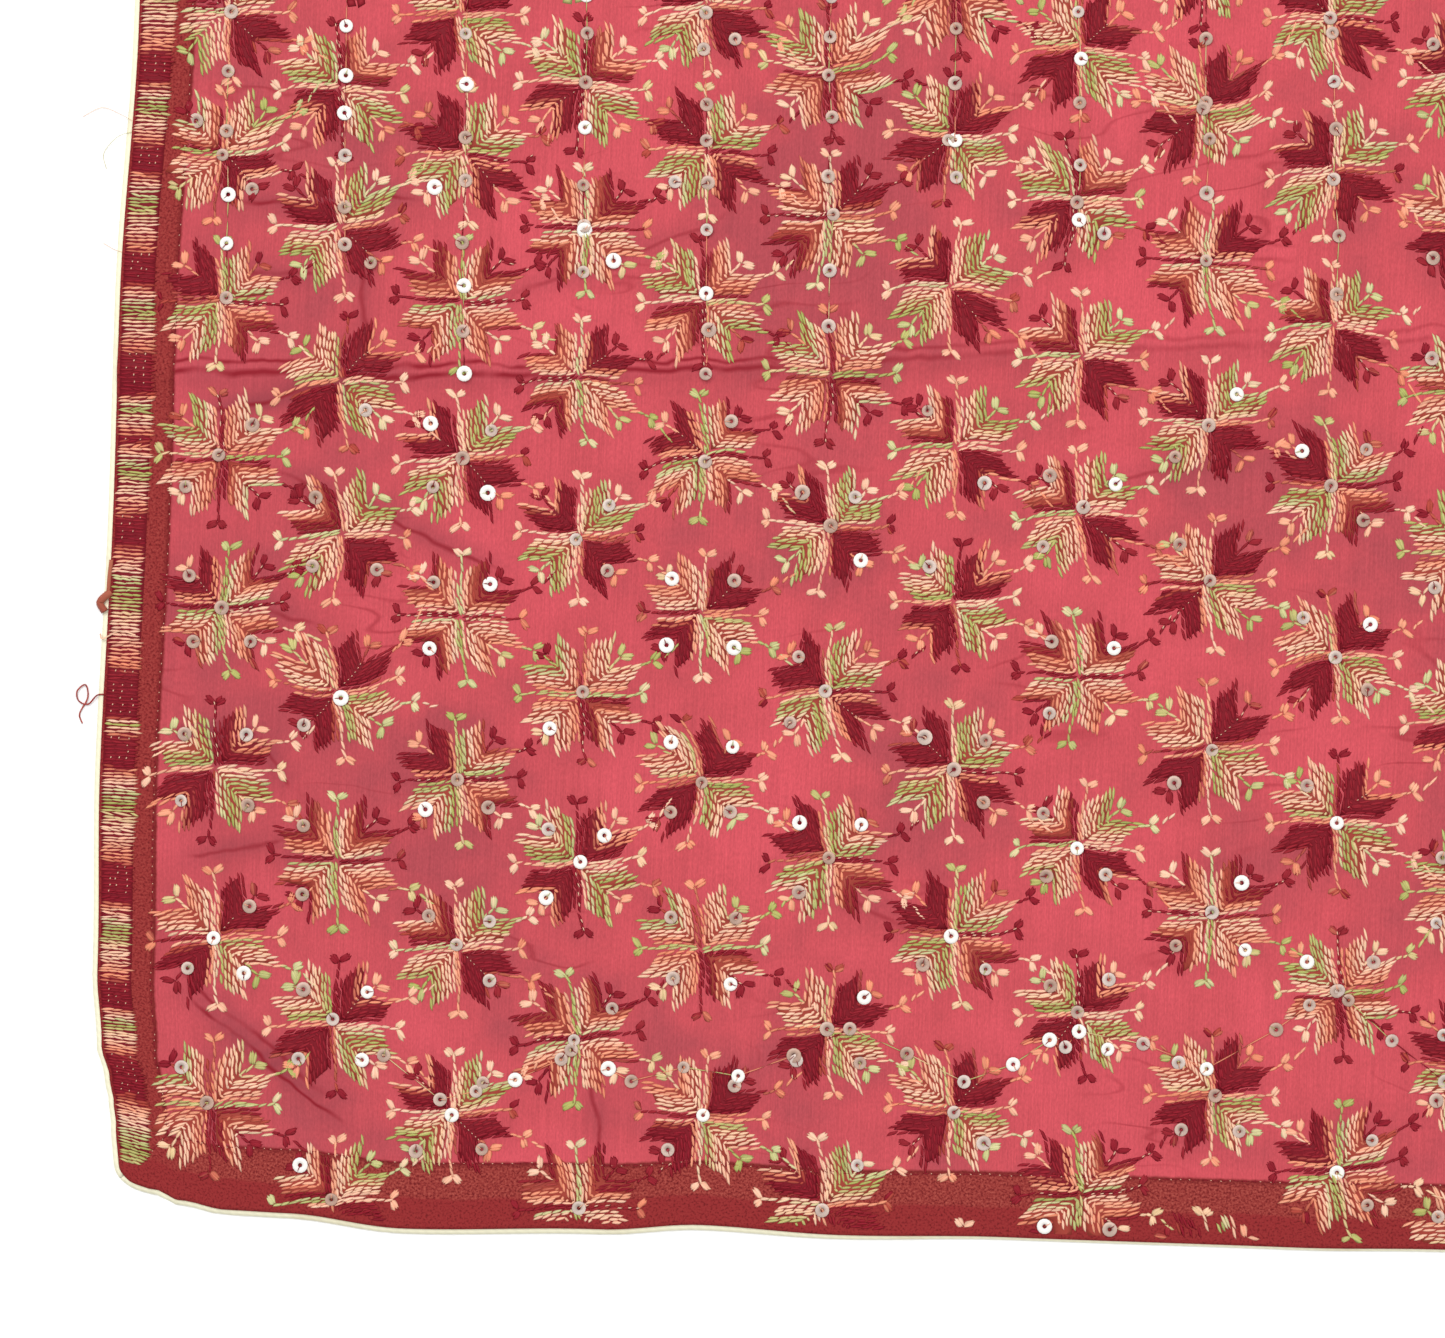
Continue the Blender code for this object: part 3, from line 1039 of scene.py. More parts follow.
@dataclass(frozen=True)
class MappedFinish:
    """A finish whose map gives its tone (u) and how much light reaches a place (v)."""

    name: str
    tones: Stops
    light: tuple[float, float]
    roughness: float
    specular: float

    def make(self) -> Material:
        """Builds the material from the map alone.

        Returns:
            The material.
        """
        made = Recipe(self.name)
        tone = made.add("SeparateXYZ", (made.add("UVMap", uv_map="OFBake"),))
        level = made.add("MapRange", (tone.node.outputs[1], 0.0, 1.0, *self.light))
        colour = made.add("ValToRGB", (tone,), self.tones)
        return made.finish({
            "Base Color": made.add("VectorMath", {0: colour, "Scale": level}, operation="SCALE"),
            "Roughness": self.roughness,
            "Specular IOR Level": self.specular,
        })


# Spun viscose embroidery thread, space-dyed maroon, salmon, peach and green: its twist catches
# the light in a soft satin gloss. The map's u is how far along its dye cycle a stitch is.
VARIEGATED_THREAD = MappedFinish(
    "variegated_viscose_thread",
    (
        (0.00, "#8c1627"), (0.14, "#901a29"), (0.27, "#97222d"), (0.31, "#ee916f"),
        (0.41, "#f4ab8b"), (0.51, "#facbae"), (0.60, "#f5c8a1"), (0.645, "#cabf7e"),
        (0.72, "#aeb060"), (0.80, "#d4ce98"), (0.845, "#faccb0"), (0.91, "#f7b595"),
        (0.955, "#ee9674"), (0.985, "#b0463a"),
    ),
    light=(0.62, 1.10), roughness=0.60, specular=0.15,
)

# Pearly polyester sequins: bright white where they face the light, grey where worn clear
SEQUIN_FOIL = MappedFinish(
    "pearl_sequin_film",
    ((0.0, "#fbf8f2"), (0.3, "#e4d4ca"), (0.6, "#d6baab"), (1.0, "#c49f8c")),
    light=(0.45, 1.12), roughness=0.35, specular=0.3,
)


@dataclass(frozen=True)
class EdgingTape:
    """Loosely woven cream cotton tape, matt, a little soiled in places."""

    cream: str = "#fffadb"
    worn: str = "#e6d3ae"
    patches: Grain = Grain(22.0, 3.0)
    thread_spacing: float = 0.8 * MM
    uneven: float = 1.2
    roughness: float = 0.85

    def make(self) -> Material:
        """Builds the material: an even weave over slow patches of beige.

        Returns:
            The material.
        """
        made = Recipe("cream_cotton_tape")
        flat = made.add("UVMap", uv_map="flat")
        patches = made.add("TexNoise", self.patches.on(flat))
        colour = made.add("ValToRGB", (patches,), ((0.56, self.cream), (0.80, self.worn)))
        scale = 1.0 / (self.thread_spacing * FULL_TURN)
        wave = {"Vector": flat, "Scale": scale, "Distortion": self.uneven}
        weave = made.add("TexWave", wave, bands_direction="DIAGONAL").node.outputs["Fac"]
        # The weave's low threads are painted darker: painted shade between the threads
        level = made.add("MapRange", (weave, 0.0, 1.0, 0.95, 1.0))
        bump = {"Height": weave, "Strength": 0.15, "Distance": 0.1 * MM}
        return made.finish({
            "Base Color": made.add("VectorMath", {0: colour, "Scale": level}, operation="SCALE"),
            "Roughness": self.roughness,
            "Normal": made.add("Bump", bump),
        })


@dataclass(frozen=True)
class HemBack:
    """The back of the turned hems: the same georgette, seen at its duller wrong side."""

    dark: str = "#8f2f36"
    light: str = "#b34a50"
    grain: Grain = Grain(500.0, 4.0)
    roughness: float = 0.85

    def make(self) -> Material:
        """Builds the material: a mottled crepe.

        Returns:
            The material.
        """
        made = Recipe("georgette_wrong_side")
        grain = made.add("TexNoise", self.grain.on(made.add("UVMap", uv_map="flat")))
        bump = {"Height": grain, "Strength": 0.3, "Distance": 0.1 * MM}
        return made.finish({
            "Base Color": made.add("ValToRGB", (grain,), ((0.35, self.dark), (0.65, self.light))),
            "Roughness": self.roughness,
            "Normal": made.add("Bump", bump),
        })


# Stitches


class StitchForm(Enum):
    """The solid that stands for one stitch: its points, its faces and how the map shades it.

    A point is a share along, a share of the half width and a share of the height. The faces
    are three-sided, close the solid and look out. The shade of a point is a step in dye, and in
    light. LINK is a plump strand with two ridge points, a slanted diamond in plan. LEAF is the
    same diamond with one ridge point, for stitches that are only seen from afar.
    """

    LINK = (
        ((0, 0, 0), (1, 0, 0), (0.32, 1, 0), (0.68, -1, 0), (0.18, 0, 1), (0.82, 0, 1)),
        ((0, 4, 2), (4, 5, 2), (5, 1, 2), (0, 3, 4), (3, 5, 4), (3, 1, 5), (0, 2, 1), (0, 1, 3)),
        ((0, 0.10), (0, 0.10), (1, 0), (-1, 0), (-0.4, 1), (0.4, 1)),
    )
    LEAF = (
        ((0, 0, 0), (1, 0, 0), (0.45, 1, 0), (0.55, -1, 0), (0.5, 0, 1)),
        ((0, 4, 2), (4, 1, 2), (0, 3, 4), (3, 1, 4), (0, 2, 1), (0, 1, 3)),
        ((0, 0.10), (0, 0.10), (1, 0), (-1, 0), (0, 1)),
    )

    @property
    def plan(self) -> Floats:
        """The solid's points."""
        return np.array(self.value[0], float)

    @property
    def faces(self) -> Ints:
        """Its faces."""
        return np.array(self.value[1])

    @property
    def shades(self) -> Floats:
        """Its points' shades."""
        return np.array(self.value[2], float)


@dataclass
class Stitches:
    """Many stitches: where each starts and stops, how thick it is, and its place in the dye."""

    start: Floats
    stop: Floats
    half_width: Floats | float
    height: Floats | float
    dye: Floats | float
    lift: Floats | float = 0.0

    def __post_init__(self) -> None:
        """Gives every stitch its own number where one is given for all."""
        for name in ("half_width", "height", "dye", "lift"):
            setattr(self, name, np.broadcast_to(getattr(self, name), len(self.start)))

    @staticmethod
    def join(parts: list["Stitches"]) -> "Stitches":
        """One set of stitches from several."""
        return Stitches(*map(np.concatenate, zip(*(vars(part).values() for part in parts))))

    def keep(self, wanted: Bools) -> "Stitches":
        """The stitches that are wanted."""
        return Stitches(*(part[wanted] for part in vars(self).values()))

    def middle(self) -> Floats:
        """The middle of each stitch."""
        return (self.start + self.stop) / 2


@dataclass(frozen=True)
class Stitcher:
    """Sews stitches onto the cloth: gives each its solid, on the cloth's own surface."""

    drape: Drape
    thread: Material
    sink: float = 0.10 * MM
    dye_width: float = 0.004
    dark_side: float = 0.04
    light_side: float = 0.80
    uneven: float = 0.16
    seed: int = 3

    def sew(self, name: str, stitches: Stitches, form: StitchForm) -> Piece:
        """Makes one piece of many stitches.

        A stitch's points are its start plus shares of its run and of its width, at the
        cloth's height there plus a share of its own height.

        Args:
            name: the piece's name.
            stitches: the stitches.
            form: the solid of each of them.

        Returns:
            The piece.
        """
        plan, count = form.plan, len(stitches.dye)
        run = stitches.stop - stitches.start
        side = np.stack([-run[:, 1], run[:, 0]], axis=1)
        side = side / np.maximum(np.linalg.norm(run, axis=1, keepdims=True), 1e-9)
        place = stitches.start[:, None, :] + plan[None, :, :1] * run[:, None, :]
        place = place + plan[None, :, 1:2] * (side * stitches.half_width[:, None])[:, None, :]
        ground = self.drape.top_at(place[..., 0], place[..., 1]) + stitches.lift[:, None]
        tall = plan[None, :, 2] * (stitches.height + self.sink)[:, None] - self.sink
        points = np.concatenate([place, (ground + tall)[..., None]], axis=2).reshape(-1, 3)
        faces = form.faces[None] + np.arange(count)[:, None, None] * len(plan)
        mesh = mesh_of(name, points, [faces.reshape(-1, 3)])
        map_points(mesh, "OFBake", self.light(stitches, form).reshape(-1, 2))
        return place_piece(mesh, self.thread)

    def light(self, stitches: Stitches, form: StitchForm) -> Floats:
        """Each point's place on the map: its dye, and the light on that side.

        Args:
            stitches: the stitches.
            form: the solid of each of them.

        Returns:
            A row for each stitch, of u and v for each of its points.
        """
        rng = np.random.default_rng(self.seed)
        count = len(stitches.dye)
        steps = form.shades
        dye = np.clip(stitches.dye % 1.0, 0.01, 0.99)
        u = dye[:, None] + steps[None, :, 0] * self.dye_width
        bright = self.light_side + rng.normal(0.0, self.uneven, count)
        v = self.dark_side + steps[None, :, 1] * (bright - self.dark_side)[:, None]
        return np.stack([u, np.clip(v, 0.01, 0.99)], axis=2)


class Detail(Enum):
    """How closely the star flowers are sewn."""

    CLOSE = "close"
    FAR = "far"


# The quarters of a star in the order in which they are sewn: right or left, above or below
QUARTERS = ((1, 1), (1, -1), (-1, -1), (-1, 1))


@dataclass(frozen=True)
class StarFlower:
    """One star flower, in pixels of the photograph from its centre.

    Four quarters of nested corner-shaped rows make an eight-pointed star. Stems run between
    the quarters to pairs of buds, sprigs grow from the notches, and vines reach over to the
    right-hand neighbours. A stitch is a row of seven numbers: its start, its stop, its length
    of thread, its share of the usual width, and the number of the row that it slides with, or
    -1 for none.
    """

    detail: Detail
    rows: int = 7
    rows_far: int = 4
    link: float = 10.0
    link_far: float = 60.0
    half_width: float = 2.25
    height: float = 0.34 * MM
    twist: float = math.radians(14)
    overlap: float = 1.42
    stem: float = 58.0
    stem_longer: float = 4.0
    stem_width: float = 0.95
    doubled: float = 40.0
    bud: float = 13.0
    bud_spread: float = 2.1
    row_pitch: float = 3.7
    first_row: float = 3.4
    arm: float = 44.0
    arm_step: float = 2.75
    arm_level: float = 5.5
    arm_rise: float = 3.7
    corner_cut: float = 2.6
    notch: float = 26.0
    sprig: float = 37.0

    def run(self, points: list[tuple[float, float]], link: float, row: int = -1) -> Floats:
        """Splits a line through points into stitches.

        Args:
            points: the line's points.
            link: how long a stitch is, about.
            row: the number of the row that the stitches belong to.

        Returns:
            One row for each stitch.
        """
        made = []
        for a, b in zip(points, points[1:]):
            a, b = np.array(a, float), np.array(b, float)
            count = max(1, round(float(np.linalg.norm(b - a)) / link))
            marks = a + (b - a) * np.linspace(0.0, 1.0, count + 1)[:, None]
            middle, half = (marks[1:] + marks[:-1]) / 2, (marks[1:] - marks[:-1]) / 2
            turn = self.twist if count > 1 or self.detail is Detail.CLOSE else 0.0
            c, s = math.cos(turn), math.sin(turn)
            half = half @ np.array([[c, s], [-s, c]]) * self.overlap
            size = np.linalg.norm(marks[1:] - marks[:-1], axis=1, keepdims=True)
            rest = np.broadcast_to([1.0, float(row)], (count, 2))
            made.append(np.concatenate([middle - half, middle + half, size, rest], axis=1))
        return np.concatenate(made)

    def quarter(self, sx: int, sy: int, inwards: bool) -> Floats:
        """The rows of one quarter, sewn back and forth.

        Args:
            sx: 1 for a quarter on the right, -1 for one on the left.
            sy: 1 for a quarter above the centre, -1 for one below it.
            inwards: whether it is sewn from its outer row to its inner one.

        Returns:
            One row for each stitch.
        """
        close = self.detail is Detail.CLOSE
        count = self.rows if close else self.rows_far
        spread = (self.rows - 1) / (count - 1)
        made = []
        for i in range(count):
            k = (count - 1 - i if inwards else i) * spread
            corner = self.first_row + self.row_pitch * k
            level = (self.arm + self.arm_step * k, self.arm_level + self.arm_rise * k)
            cut = corner + self.corner_cut
            line = [level, (cut, corner), (corner, cut), (level[1], level[0])]
            if not close:
                line = [level, (corner, corner), (level[1], level[0])]
            if i % 2:
                line = line[::-1]
            line = [(sx * px, sy * py) for px, py in line]
            made.append(self.run(line, self.link if close else self.link_far, i))
        return np.concatenate(made)

    def lobes(self, root: tuple[float, float], heading: float, lean: float, size: float) -> Floats:
        """A pair of plump buds, each of three satin stitches side by side.

        Args:
            root: where both buds start.
            heading: the way that the pair points.
            lean: how far each bud leans off that way.
            size: a bud's length.

        Returns:
            One row for each stitch.
        """
        close = self.detail is Detail.CLOSE
        made = []
        for side in (-lean, lean):
            c, s = math.cos(heading + side), math.sin(heading + side)
            for off in ((-self.bud_spread, self.bud_spread, 0.0) if close else (0.0,)):
                reach = size * (1.0 if off == 0.0 else 0.93)
                near = 0.5 * off
                start = (root[0] - near * s, root[1] + near * c)
                stop = (root[0] + reach * c - off * s, root[1] + reach * s + off * c)
                made.append([*start, *stop, reach, 1.4 if close else 1.9, -1.0])
        return np.array(made)

    def stem_line(self, heading: float, length: float) -> Floats:
        """One stem: a doubled strand near the centre, one strand beyond, then its buds.

        Args:
            heading: the way that it points.
            length: how far from the centre its buds sit.

        Returns:
            One row for each stitch.
        """
        c, s = math.cos(heading), math.sin(heading)
        close = self.detail is Detail.CLOSE
        link = self.link if close else self.link_far

        def at(reach: float, off: float) -> tuple[float, float]:
            """The place this far along the stem and this far beside it."""
            return (c * reach - s * off, s * reach + c * off)

        made = [self.run([at(2, 0.0), at(20, 1.2), at(length * 0.75, -0.8), at(length + 2, 0.4)], link)]
        if close:
            made.append(self.run([at(3, -2.6), at(self.doubled, -1.6)], link))
        for rows in made:
            rows[:, 5] *= self.stem_width
        made.append(self.lobes(at(length, 0.0), heading, 0.90, self.bud))
        return np.concatenate(made)

    def sprig_line(self, sx: int, sy: int) -> Floats:
        """A sprig from a quarter's notch, with its pair of buds.

        Args:
            sx: 1 for a quarter on the right, -1 for one on the left.
            sy: 1 for a quarter above the centre, -1 for one below it.

        Returns:
            One row for each stitch.
        """
        heading = math.atan2(sy, sx)
        link = self.link * 0.7 if self.detail is Detail.CLOSE else self.link_far
        line = self.run([(sx * self.notch, sy * self.notch), (sx * self.sprig, sy * self.sprig)], link)
        buds = self.lobes((sx * self.sprig, sy * self.sprig), heading, 0.82, self.bud * 1.15)
        return np.concatenate([line, buds])

    def vine_line(self, sy: int) -> Floats:
        """A vine from the right-hand point to the neighbour's notch, with buds half way.

        Args:
            sy: 1 for the vine that climbs, -1 for the one that drops.

        Returns:
            One row for each stitch.
        """
        link = self.link * 0.8 if self.detail is Detail.CLOSE else self.link_far
        line = self.run([(58, sy * 26), (64, sy * 28), (69, sy * 30)], link)
        buds = self.lobes((69, sy * 30), sy * 0.35, 0.80, self.bud)
        rest = self.run([(80, sy * 35), (85, sy * 41), (92, sy * 47)], link)
        return np.concatenate([line, buds, rest])

    def rows_of(self, part: str) -> tuple[Floats, Floats]:
        """The stitches of the star or of its sprays, and how far along the thread they are.

        Args:
            part: "star" for the four quarters, "spray" for stems, sprigs and vines.

        Returns:
            The stitches' rows, and the length of thread before each.
        """
        headings = (math.pi / 2, 0.0, -math.pi / 2, math.pi)
        sewn, before, thread = [], [], 0.0
        for i, ((sx, sy), heading) in enumerate(zip(QUARTERS, headings)):
            length = self.stem + (self.stem_longer if heading < 0 else 0.0)
            groups = (
                ("spray", self.stem_line(heading, length)),
                ("star", self.quarter(sx, sy, inwards=bool(i % 2))),
                ("spray", self.sprig_line(sx, sy)),
            )
            if sx > 0:
                groups += (("spray", self.vine_line(sy)),)
            for name, rows in groups:
                passed = thread + np.cumsum(rows[:, 4]) - rows[:, 4]
                thread = passed[-1] + rows[-1, 4]
                if name == part:
                    rows[:, 6] += i * self.rows * (rows[:, 6] >= 0)
                    sewn.append(rows)
                    before.append(passed)
        return np.concatenate(sewn), np.concatenate(before)


@dataclass(frozen=True)
class StarField:
    """The stars' places: staggered columns whose rows climb to the right and close up.

    A column's number c counts from the left and a row's number h counts half steps from the
    bottom. Both bend gently over the seen corner, and run on straight beyond it.
    """

    lie: Lie
    columns: int = 24
    half_rows: int = 94
    bend_to: tuple[float, float] = (10.0, 15.0)
    column_step: float = 38.9
    half_step: float = 24.2
    seed: int = 5

    def place(self, c: Floats, h: Floats) -> tuple[Floats, Floats]:
        """The x and y of a column and a half row.

        The columns lean left as they climb and widen to the right. The rows climb to the right,
        the more the further they go, and lie closer together higher up.

        Args:
            c: the column's number.
            h: the half row's number.

        Returns:
            The x and y on the table.
        """
        right, up = np.minimum(c, self.bend_to[0]), np.minimum(h, self.bend_to[1])
        s, t = (right - 4.5) / 5, (up - 7) / 7
        x = 205.8 + 192.0 * s + 4.2 * s * s - 6.7 * t - 2.0 * s * t + self.column_step * (c - right)
        y = 197.0 + 175.2 * t - 8.6 * t * t + 14.7 * s + 9.0 * s * s + 3.9 * s * t
        y = y + self.half_step * (h - up)
        return x * MM + self.lie.low[0], y * MM + self.lie.low[1]

    def all(self) -> Floats:
        """Every star's centre, a little off its place.

        Returns:
            The x and y of each.
        """
        c, h = np.meshgrid(np.arange(self.columns), np.arange(-2, self.half_rows))
        wanted = (c + h) % 2 == 1
        x, y = self.place(c[wanted].astype(float), h[wanted].astype(float))
        rng = np.random.default_rng(self.seed)
        shift = rng.normal(0.0, 0.6 * MM, (2, len(x)))
        return np.stack([x + shift[0], y + shift[1]], axis=1)


@dataclass
class Flowers:
    """Where the star flowers are, and how each differs from the pattern.

    A flower has a turn and a size, droops its arms one way or the other, leans, and wavers by
    a pixel or so as it was sewn. Its thread starts at its own place in the dye cycle.
    """

    centres: Floats
    seed: int = 8
    turn: Floats = field(init=False)
    size: Floats = field(init=False)
    droop: Floats = field(init=False)
    lean: Floats = field(init=False)
    waver: Floats = field(init=False)
    dye: Floats = field(init=False)

    def __post_init__(self) -> None:
        """Draws every flower's own habits, so that a flower keeps them in each of its parts."""
        rng = np.random.default_rng(self.seed)
        count = len(self.centres)
        self.turn = rng.normal(0.035, 0.03, (count, 1))
        self.size = 1.03 + rng.normal(0.0, 0.025, (count, 1))
        self.droop = rng.normal(0.0, 0.085, (count, 2, 1))
        self.lean = rng.normal(0.0, 0.03, (count, 2, 1))
        self.waver = rng.uniform(0.0, FULL_TURN, (count, 2, 1))
        self.dye = rng.random((count, 1))

    def pick(self, wanted: Bools) -> "Flowers":
        """Picks some of the flowers, with their habits.

        Args:
            wanted: which of them.

        Returns:
            Those flowers.
        """
        chosen = Flowers(self.centres[wanted], self.seed)
        for name in ("turn", "size", "droop", "lean", "waver", "dye"):
            setattr(chosen, name, getattr(self, name)[wanted])
        return chosen

    def lay(self, px: Floats, py: Floats) -> Floats:
        """Puts places in a flower's pattern onto the table.

        Args:
            px: pixels to the right of the centre, a row for each flower.
            py: pixels above the centre.

        Returns:
            The x and y of each, in the last axis.
        """
        x = px + self.droop[:, 0] * py * py / 60 + self.lean[:, 0] * py
        y = py + self.droop[:, 1] * px * px / 60 + self.lean[:, 1] * px
        x, y = (
            x + 1.1 * np.sin(py / 8.0 + px / 37.0 + self.waver[:, 0]),
            y + 1.1 * np.sin(px / 8.0 + py / 31.0 + self.waver[:, 1]),
        )
        c, s = np.cos(self.turn) * self.size, np.sin(self.turn) * self.size
        turned = np.stack([c * x - s * y, s * x + c * y], axis=2)
        return turned * PHOTO_PIXEL + self.centres[:, None, :]


@dataclass
class Embroidery:
    """All the star flowers with their buds and vines, and their underlay of dark thread and painted shade.
    """

    lie: Lie
    drape: Drape
    stitcher: Stitcher
    cycle: float = 1900.0
    maroon_share: float = 0.29
    shake: float = 0.55
    slide: float = 1.9
    far_width: float = 2.05
    bobbin_share: float = 0.4
    bud_width: float = 0.79 * MM
    seed: int = 8
    first_column: float = 22.0 * MM
    past_edge: float = 20.0 * MM
    edge_margin: float = 1.6 * MM
    band_clear: float = 11.5 * MM
    dots_at: tuple[float, ...] = (8.0, 11.5, 15.0, 18.5, 22.0, 25.0)
    dot: float = 1.6
    dots_shown: float = 0.8
    # The plates under the quarters: their inner and outer line in pixels, their rise above and
    # below the cloth's face, how much of a plate has to be on the cloth, and how they are dyed
    # and dimmed: dark thread with painted shade between the rows
    inner: tuple[tuple[float, float], ...] = ((43, 8), (5, 5), (8, 43))
    outer: tuple[tuple[float, float], ...] = ((55, 24.5), (25.5, 25.5), (24.5, 55))
    underlay_rise: tuple[float, float] = (0.07 * MM, -0.08 * MM)
    mostly: float = 0.75
    maroon_plate: tuple[float, float] = (0.10, 0.14)
    close_shade_plate: tuple[float, float] = (0.989, 0.28)
    far_plate_light: float = 0.20
    last_dye: float = 0.97

    def flowers(self) -> tuple[Flowers, Bools]:
        """Finds the flowers that are at least partly on the cloth.

        Returns:
            The flowers, and which of them are in the seen corner.
        """
        centres = StarField(self.lie).all()
        across, along = self.lie.unsettle(*centres.T)
        on_cloth = (across > self.first_column) & (across < self.lie.width + self.past_edge)
        on_cloth &= (along > -self.past_edge) & (along < self.lie.length + self.past_edge)
        return Flowers(centres[on_cloth], self.seed), in_corner(across, along)[on_cloth]

    def on_cloth(self, stitches: Stitches) -> Stitches:
        """Leaves out the stitches that would run past an edge or into the band.

        Args:
            stitches: the stitches.

        Returns:
            Those that are left.
        """
        wanted = np.ones(len(stitches.dye), bool)
        for ends in (stitches.start, stitches.stop):
            across, along = self.lie.unsettle(ends[:, 0], ends[:, 1])
            wanted &= self.lie.to_edge(across, along) > self.edge_margin
            wanted &= across > self.band_clear
        return stitches.keep(wanted)

    def sewn(self, flowers: Flowers, pattern: StarFlower, part: str) -> Stitches:
        """The stitches of a part of many flowers.

        Each row slides a little along its own line, so that its ends stand ragged.

        Args:
            flowers: the flowers.
            pattern: their pattern.
            part: "star" or "spray".

        Returns:
            The stitches.
        """
        rows, before = pattern.rows_of(part)
        rng = np.random.default_rng(self.seed + len(rows))
        shake = rng.normal(0.0, self.shake, (len(flowers.centres), len(rows), 4))
        slides = rng.normal(0.0, self.slide, (len(flowers.centres), 4 * pattern.rows + 1))
        slides[:, -1] = 0.0
        slid = slides[:, rows[:, 6].astype(int)][..., None]
        way = rows[:, 2:4] - rows[:, :2]
        way = way / np.linalg.norm(way, axis=1)[:, None]
        shake += np.tile(way[None] * slid, 2)
        start = flowers.lay(rows[None, :, 0] + shake[..., 0], rows[None, :, 1] + shake[..., 1])
        stop = flowers.lay(rows[None, :, 2] + shake[..., 2], rows[None, :, 3] + shake[..., 3])
        count = len(flowers.centres) * len(rows)
        dye = flowers.dye + before[None, :] / self.cycle + shake[..., 0] * 0.003
        wider = 1.0 if pattern.detail is Detail.CLOSE else self.far_width
        wide = pattern.half_width * PHOTO_PIXEL * wider
        wide = np.broadcast_to(wide * rows[None, :, 5], dye.shape).ravel()
        return Stitches(
            start.reshape(-1, 2),
            stop.reshape(-1, 2),
            wide * (1.0 + rng.normal(0.0, 0.08, count)),
            pattern.height * (1.0 + rng.normal(0.0, 0.12, count)),
            dye.ravel(),
        )

    def quarter_dye(self, flowers: Flowers, pattern: StarFlower) -> Floats:
        """Each quarter's place in the dye cycle, half way through its rows."""
        before = pattern.rows_of("star")[1].reshape(4, -1).mean(axis=1)
        return (flowers.dye + before[None] / self.cycle) % 1.0

    def underlay(self, name: str, flowers: Flowers, pattern: StarFlower, turns: int, lines: int) -> None:
        """Dark thread and painted shade that show between the rows: a low plate under each quarter.

        A plate is a grid from the end of one arm round the corner to the end of the other,
        and from the inner row to the outer one, between a line on each arm's end and one on
        the diagonal. It lies just above the cloth, with the same grid below it and faces round
        the rim. A plate that reaches an edge or the band is drawn in to it, and one that is
        largely past it is left out. Far plates take their quarter's own dye, as its rows are
        sewn wide apart there.

        Args:
            name: the piece's name.
            flowers: the flowers.
            pattern: their pattern, for the dye that each quarter is sewn in.
            turns: how many points the grid has from arm to arm, an odd number.
            lines: how many it has from the inner row to the outer one.
        """
        turn = np.linspace(-1.0, 1.0, turns)
        inner, outer = (
            np.stack([np.interp(turn, [-1, 0, 1], column) for column in zip(*line)], axis=1)
            for line in (self.inner, self.outer)
        )
        share = np.linspace(0.0, 1.0, lines)[:, None, None]
        plan = (inner[None] + (outer - inner)[None] * share).reshape(-1, 2)
        plans = (np.array(QUARTERS, float)[:, None, :] * plan[None]).reshape(-1, 2)
        count = len(plan)
        laid = flowers.lay(plans[None, :, 0], plans[None, :, 1]).reshape(-1, 4, count, 2)
        across, along = self.lie.unsettle(laid[..., 0], laid[..., 1])
        margin = self.edge_margin
        held_across = np.clip(across, self.band_clear, self.lie.width - margin)
        held_along = np.clip(along, margin, self.lie.length - margin)
        free = (held_across == across) & (held_along == along)
        wanted = free[..., count // 2] & (free.mean(axis=-1) > self.mostly)
        x, y = self.lie.settle(held_across, held_along)
        top = self.drape.top(held_across, held_along)
        layers = [np.stack([x, y, top + rise], axis=-1) for rise in self.underlay_rise]
        points = np.concatenate(layers, axis=2)[wanted]
        rim, after = rim_of(lines, turns)
        faces = np.concatenate([
            grid_faces(lines, turns, 0, False), grid_faces(lines, turns, count, True),
            np.stack([rim, after, after + count, rim + count], axis=1),
        ])
        faces = faces[None] + np.arange(len(points))[:, None, None] * 2 * count
        mirrored = [sx * sy < 0 for sx, sy in QUARTERS]
        turned = np.broadcast_to(mirrored, wanted.shape)[wanted]
        faces[turned] = faces[turned][..., ::-1]
        mesh = mesh_of(name, points.reshape(-1, 3), [faces.reshape(-1, 4)])
        dye = self.quarter_dye(flowers, pattern)[wanted][:, None]
        spread = np.linspace(-1.0, 1.0, 2 * count)[None]
        between = self.close_shade_plate
        if pattern.detail is Detail.FAR:
            between = (np.minimum(dye, self.last_dye), self.far_plate_light)
        u, v = (np.where(dye < self.maroon_share, *pair) for pair in zip(self.maroon_plate, between))
        u = u + 0.004 * spread
        v = v + 0.12 * np.sin(9.0 * spread)
        map_points(mesh, "OFBake", np.stack([u, v], axis=2).reshape(-1, 2))
        place_piece(mesh, self.stitcher.thread)

    def bobbin_dashes(self, spray: Stitches) -> Stitches:
        """Pale bobbin thread pulled through to the face along some of the maroon stems.

        Args:
            spray: the stems' stitches, in the order in which they are sewn.

        Returns:
            The dashes.
        """
        rng = np.random.default_rng(self.seed + 4)
        runs = np.repeat(rng.random(len(spray.dye) // 9 + 1) < self.bobbin_share, 9)[: len(spray.dye)]
        dye = spray.dye % 1.0
        thin = spray.half_width < self.bud_width
        shown = spray.keep(runs & thin & (dye > 0.02) & (dye < self.maroon_share - 0.03))
        run = shown.stop - shown.start
        return self.pale(shown.start + 0.55 * run, shown.start + 0.95 * run, 0.26 * MM)

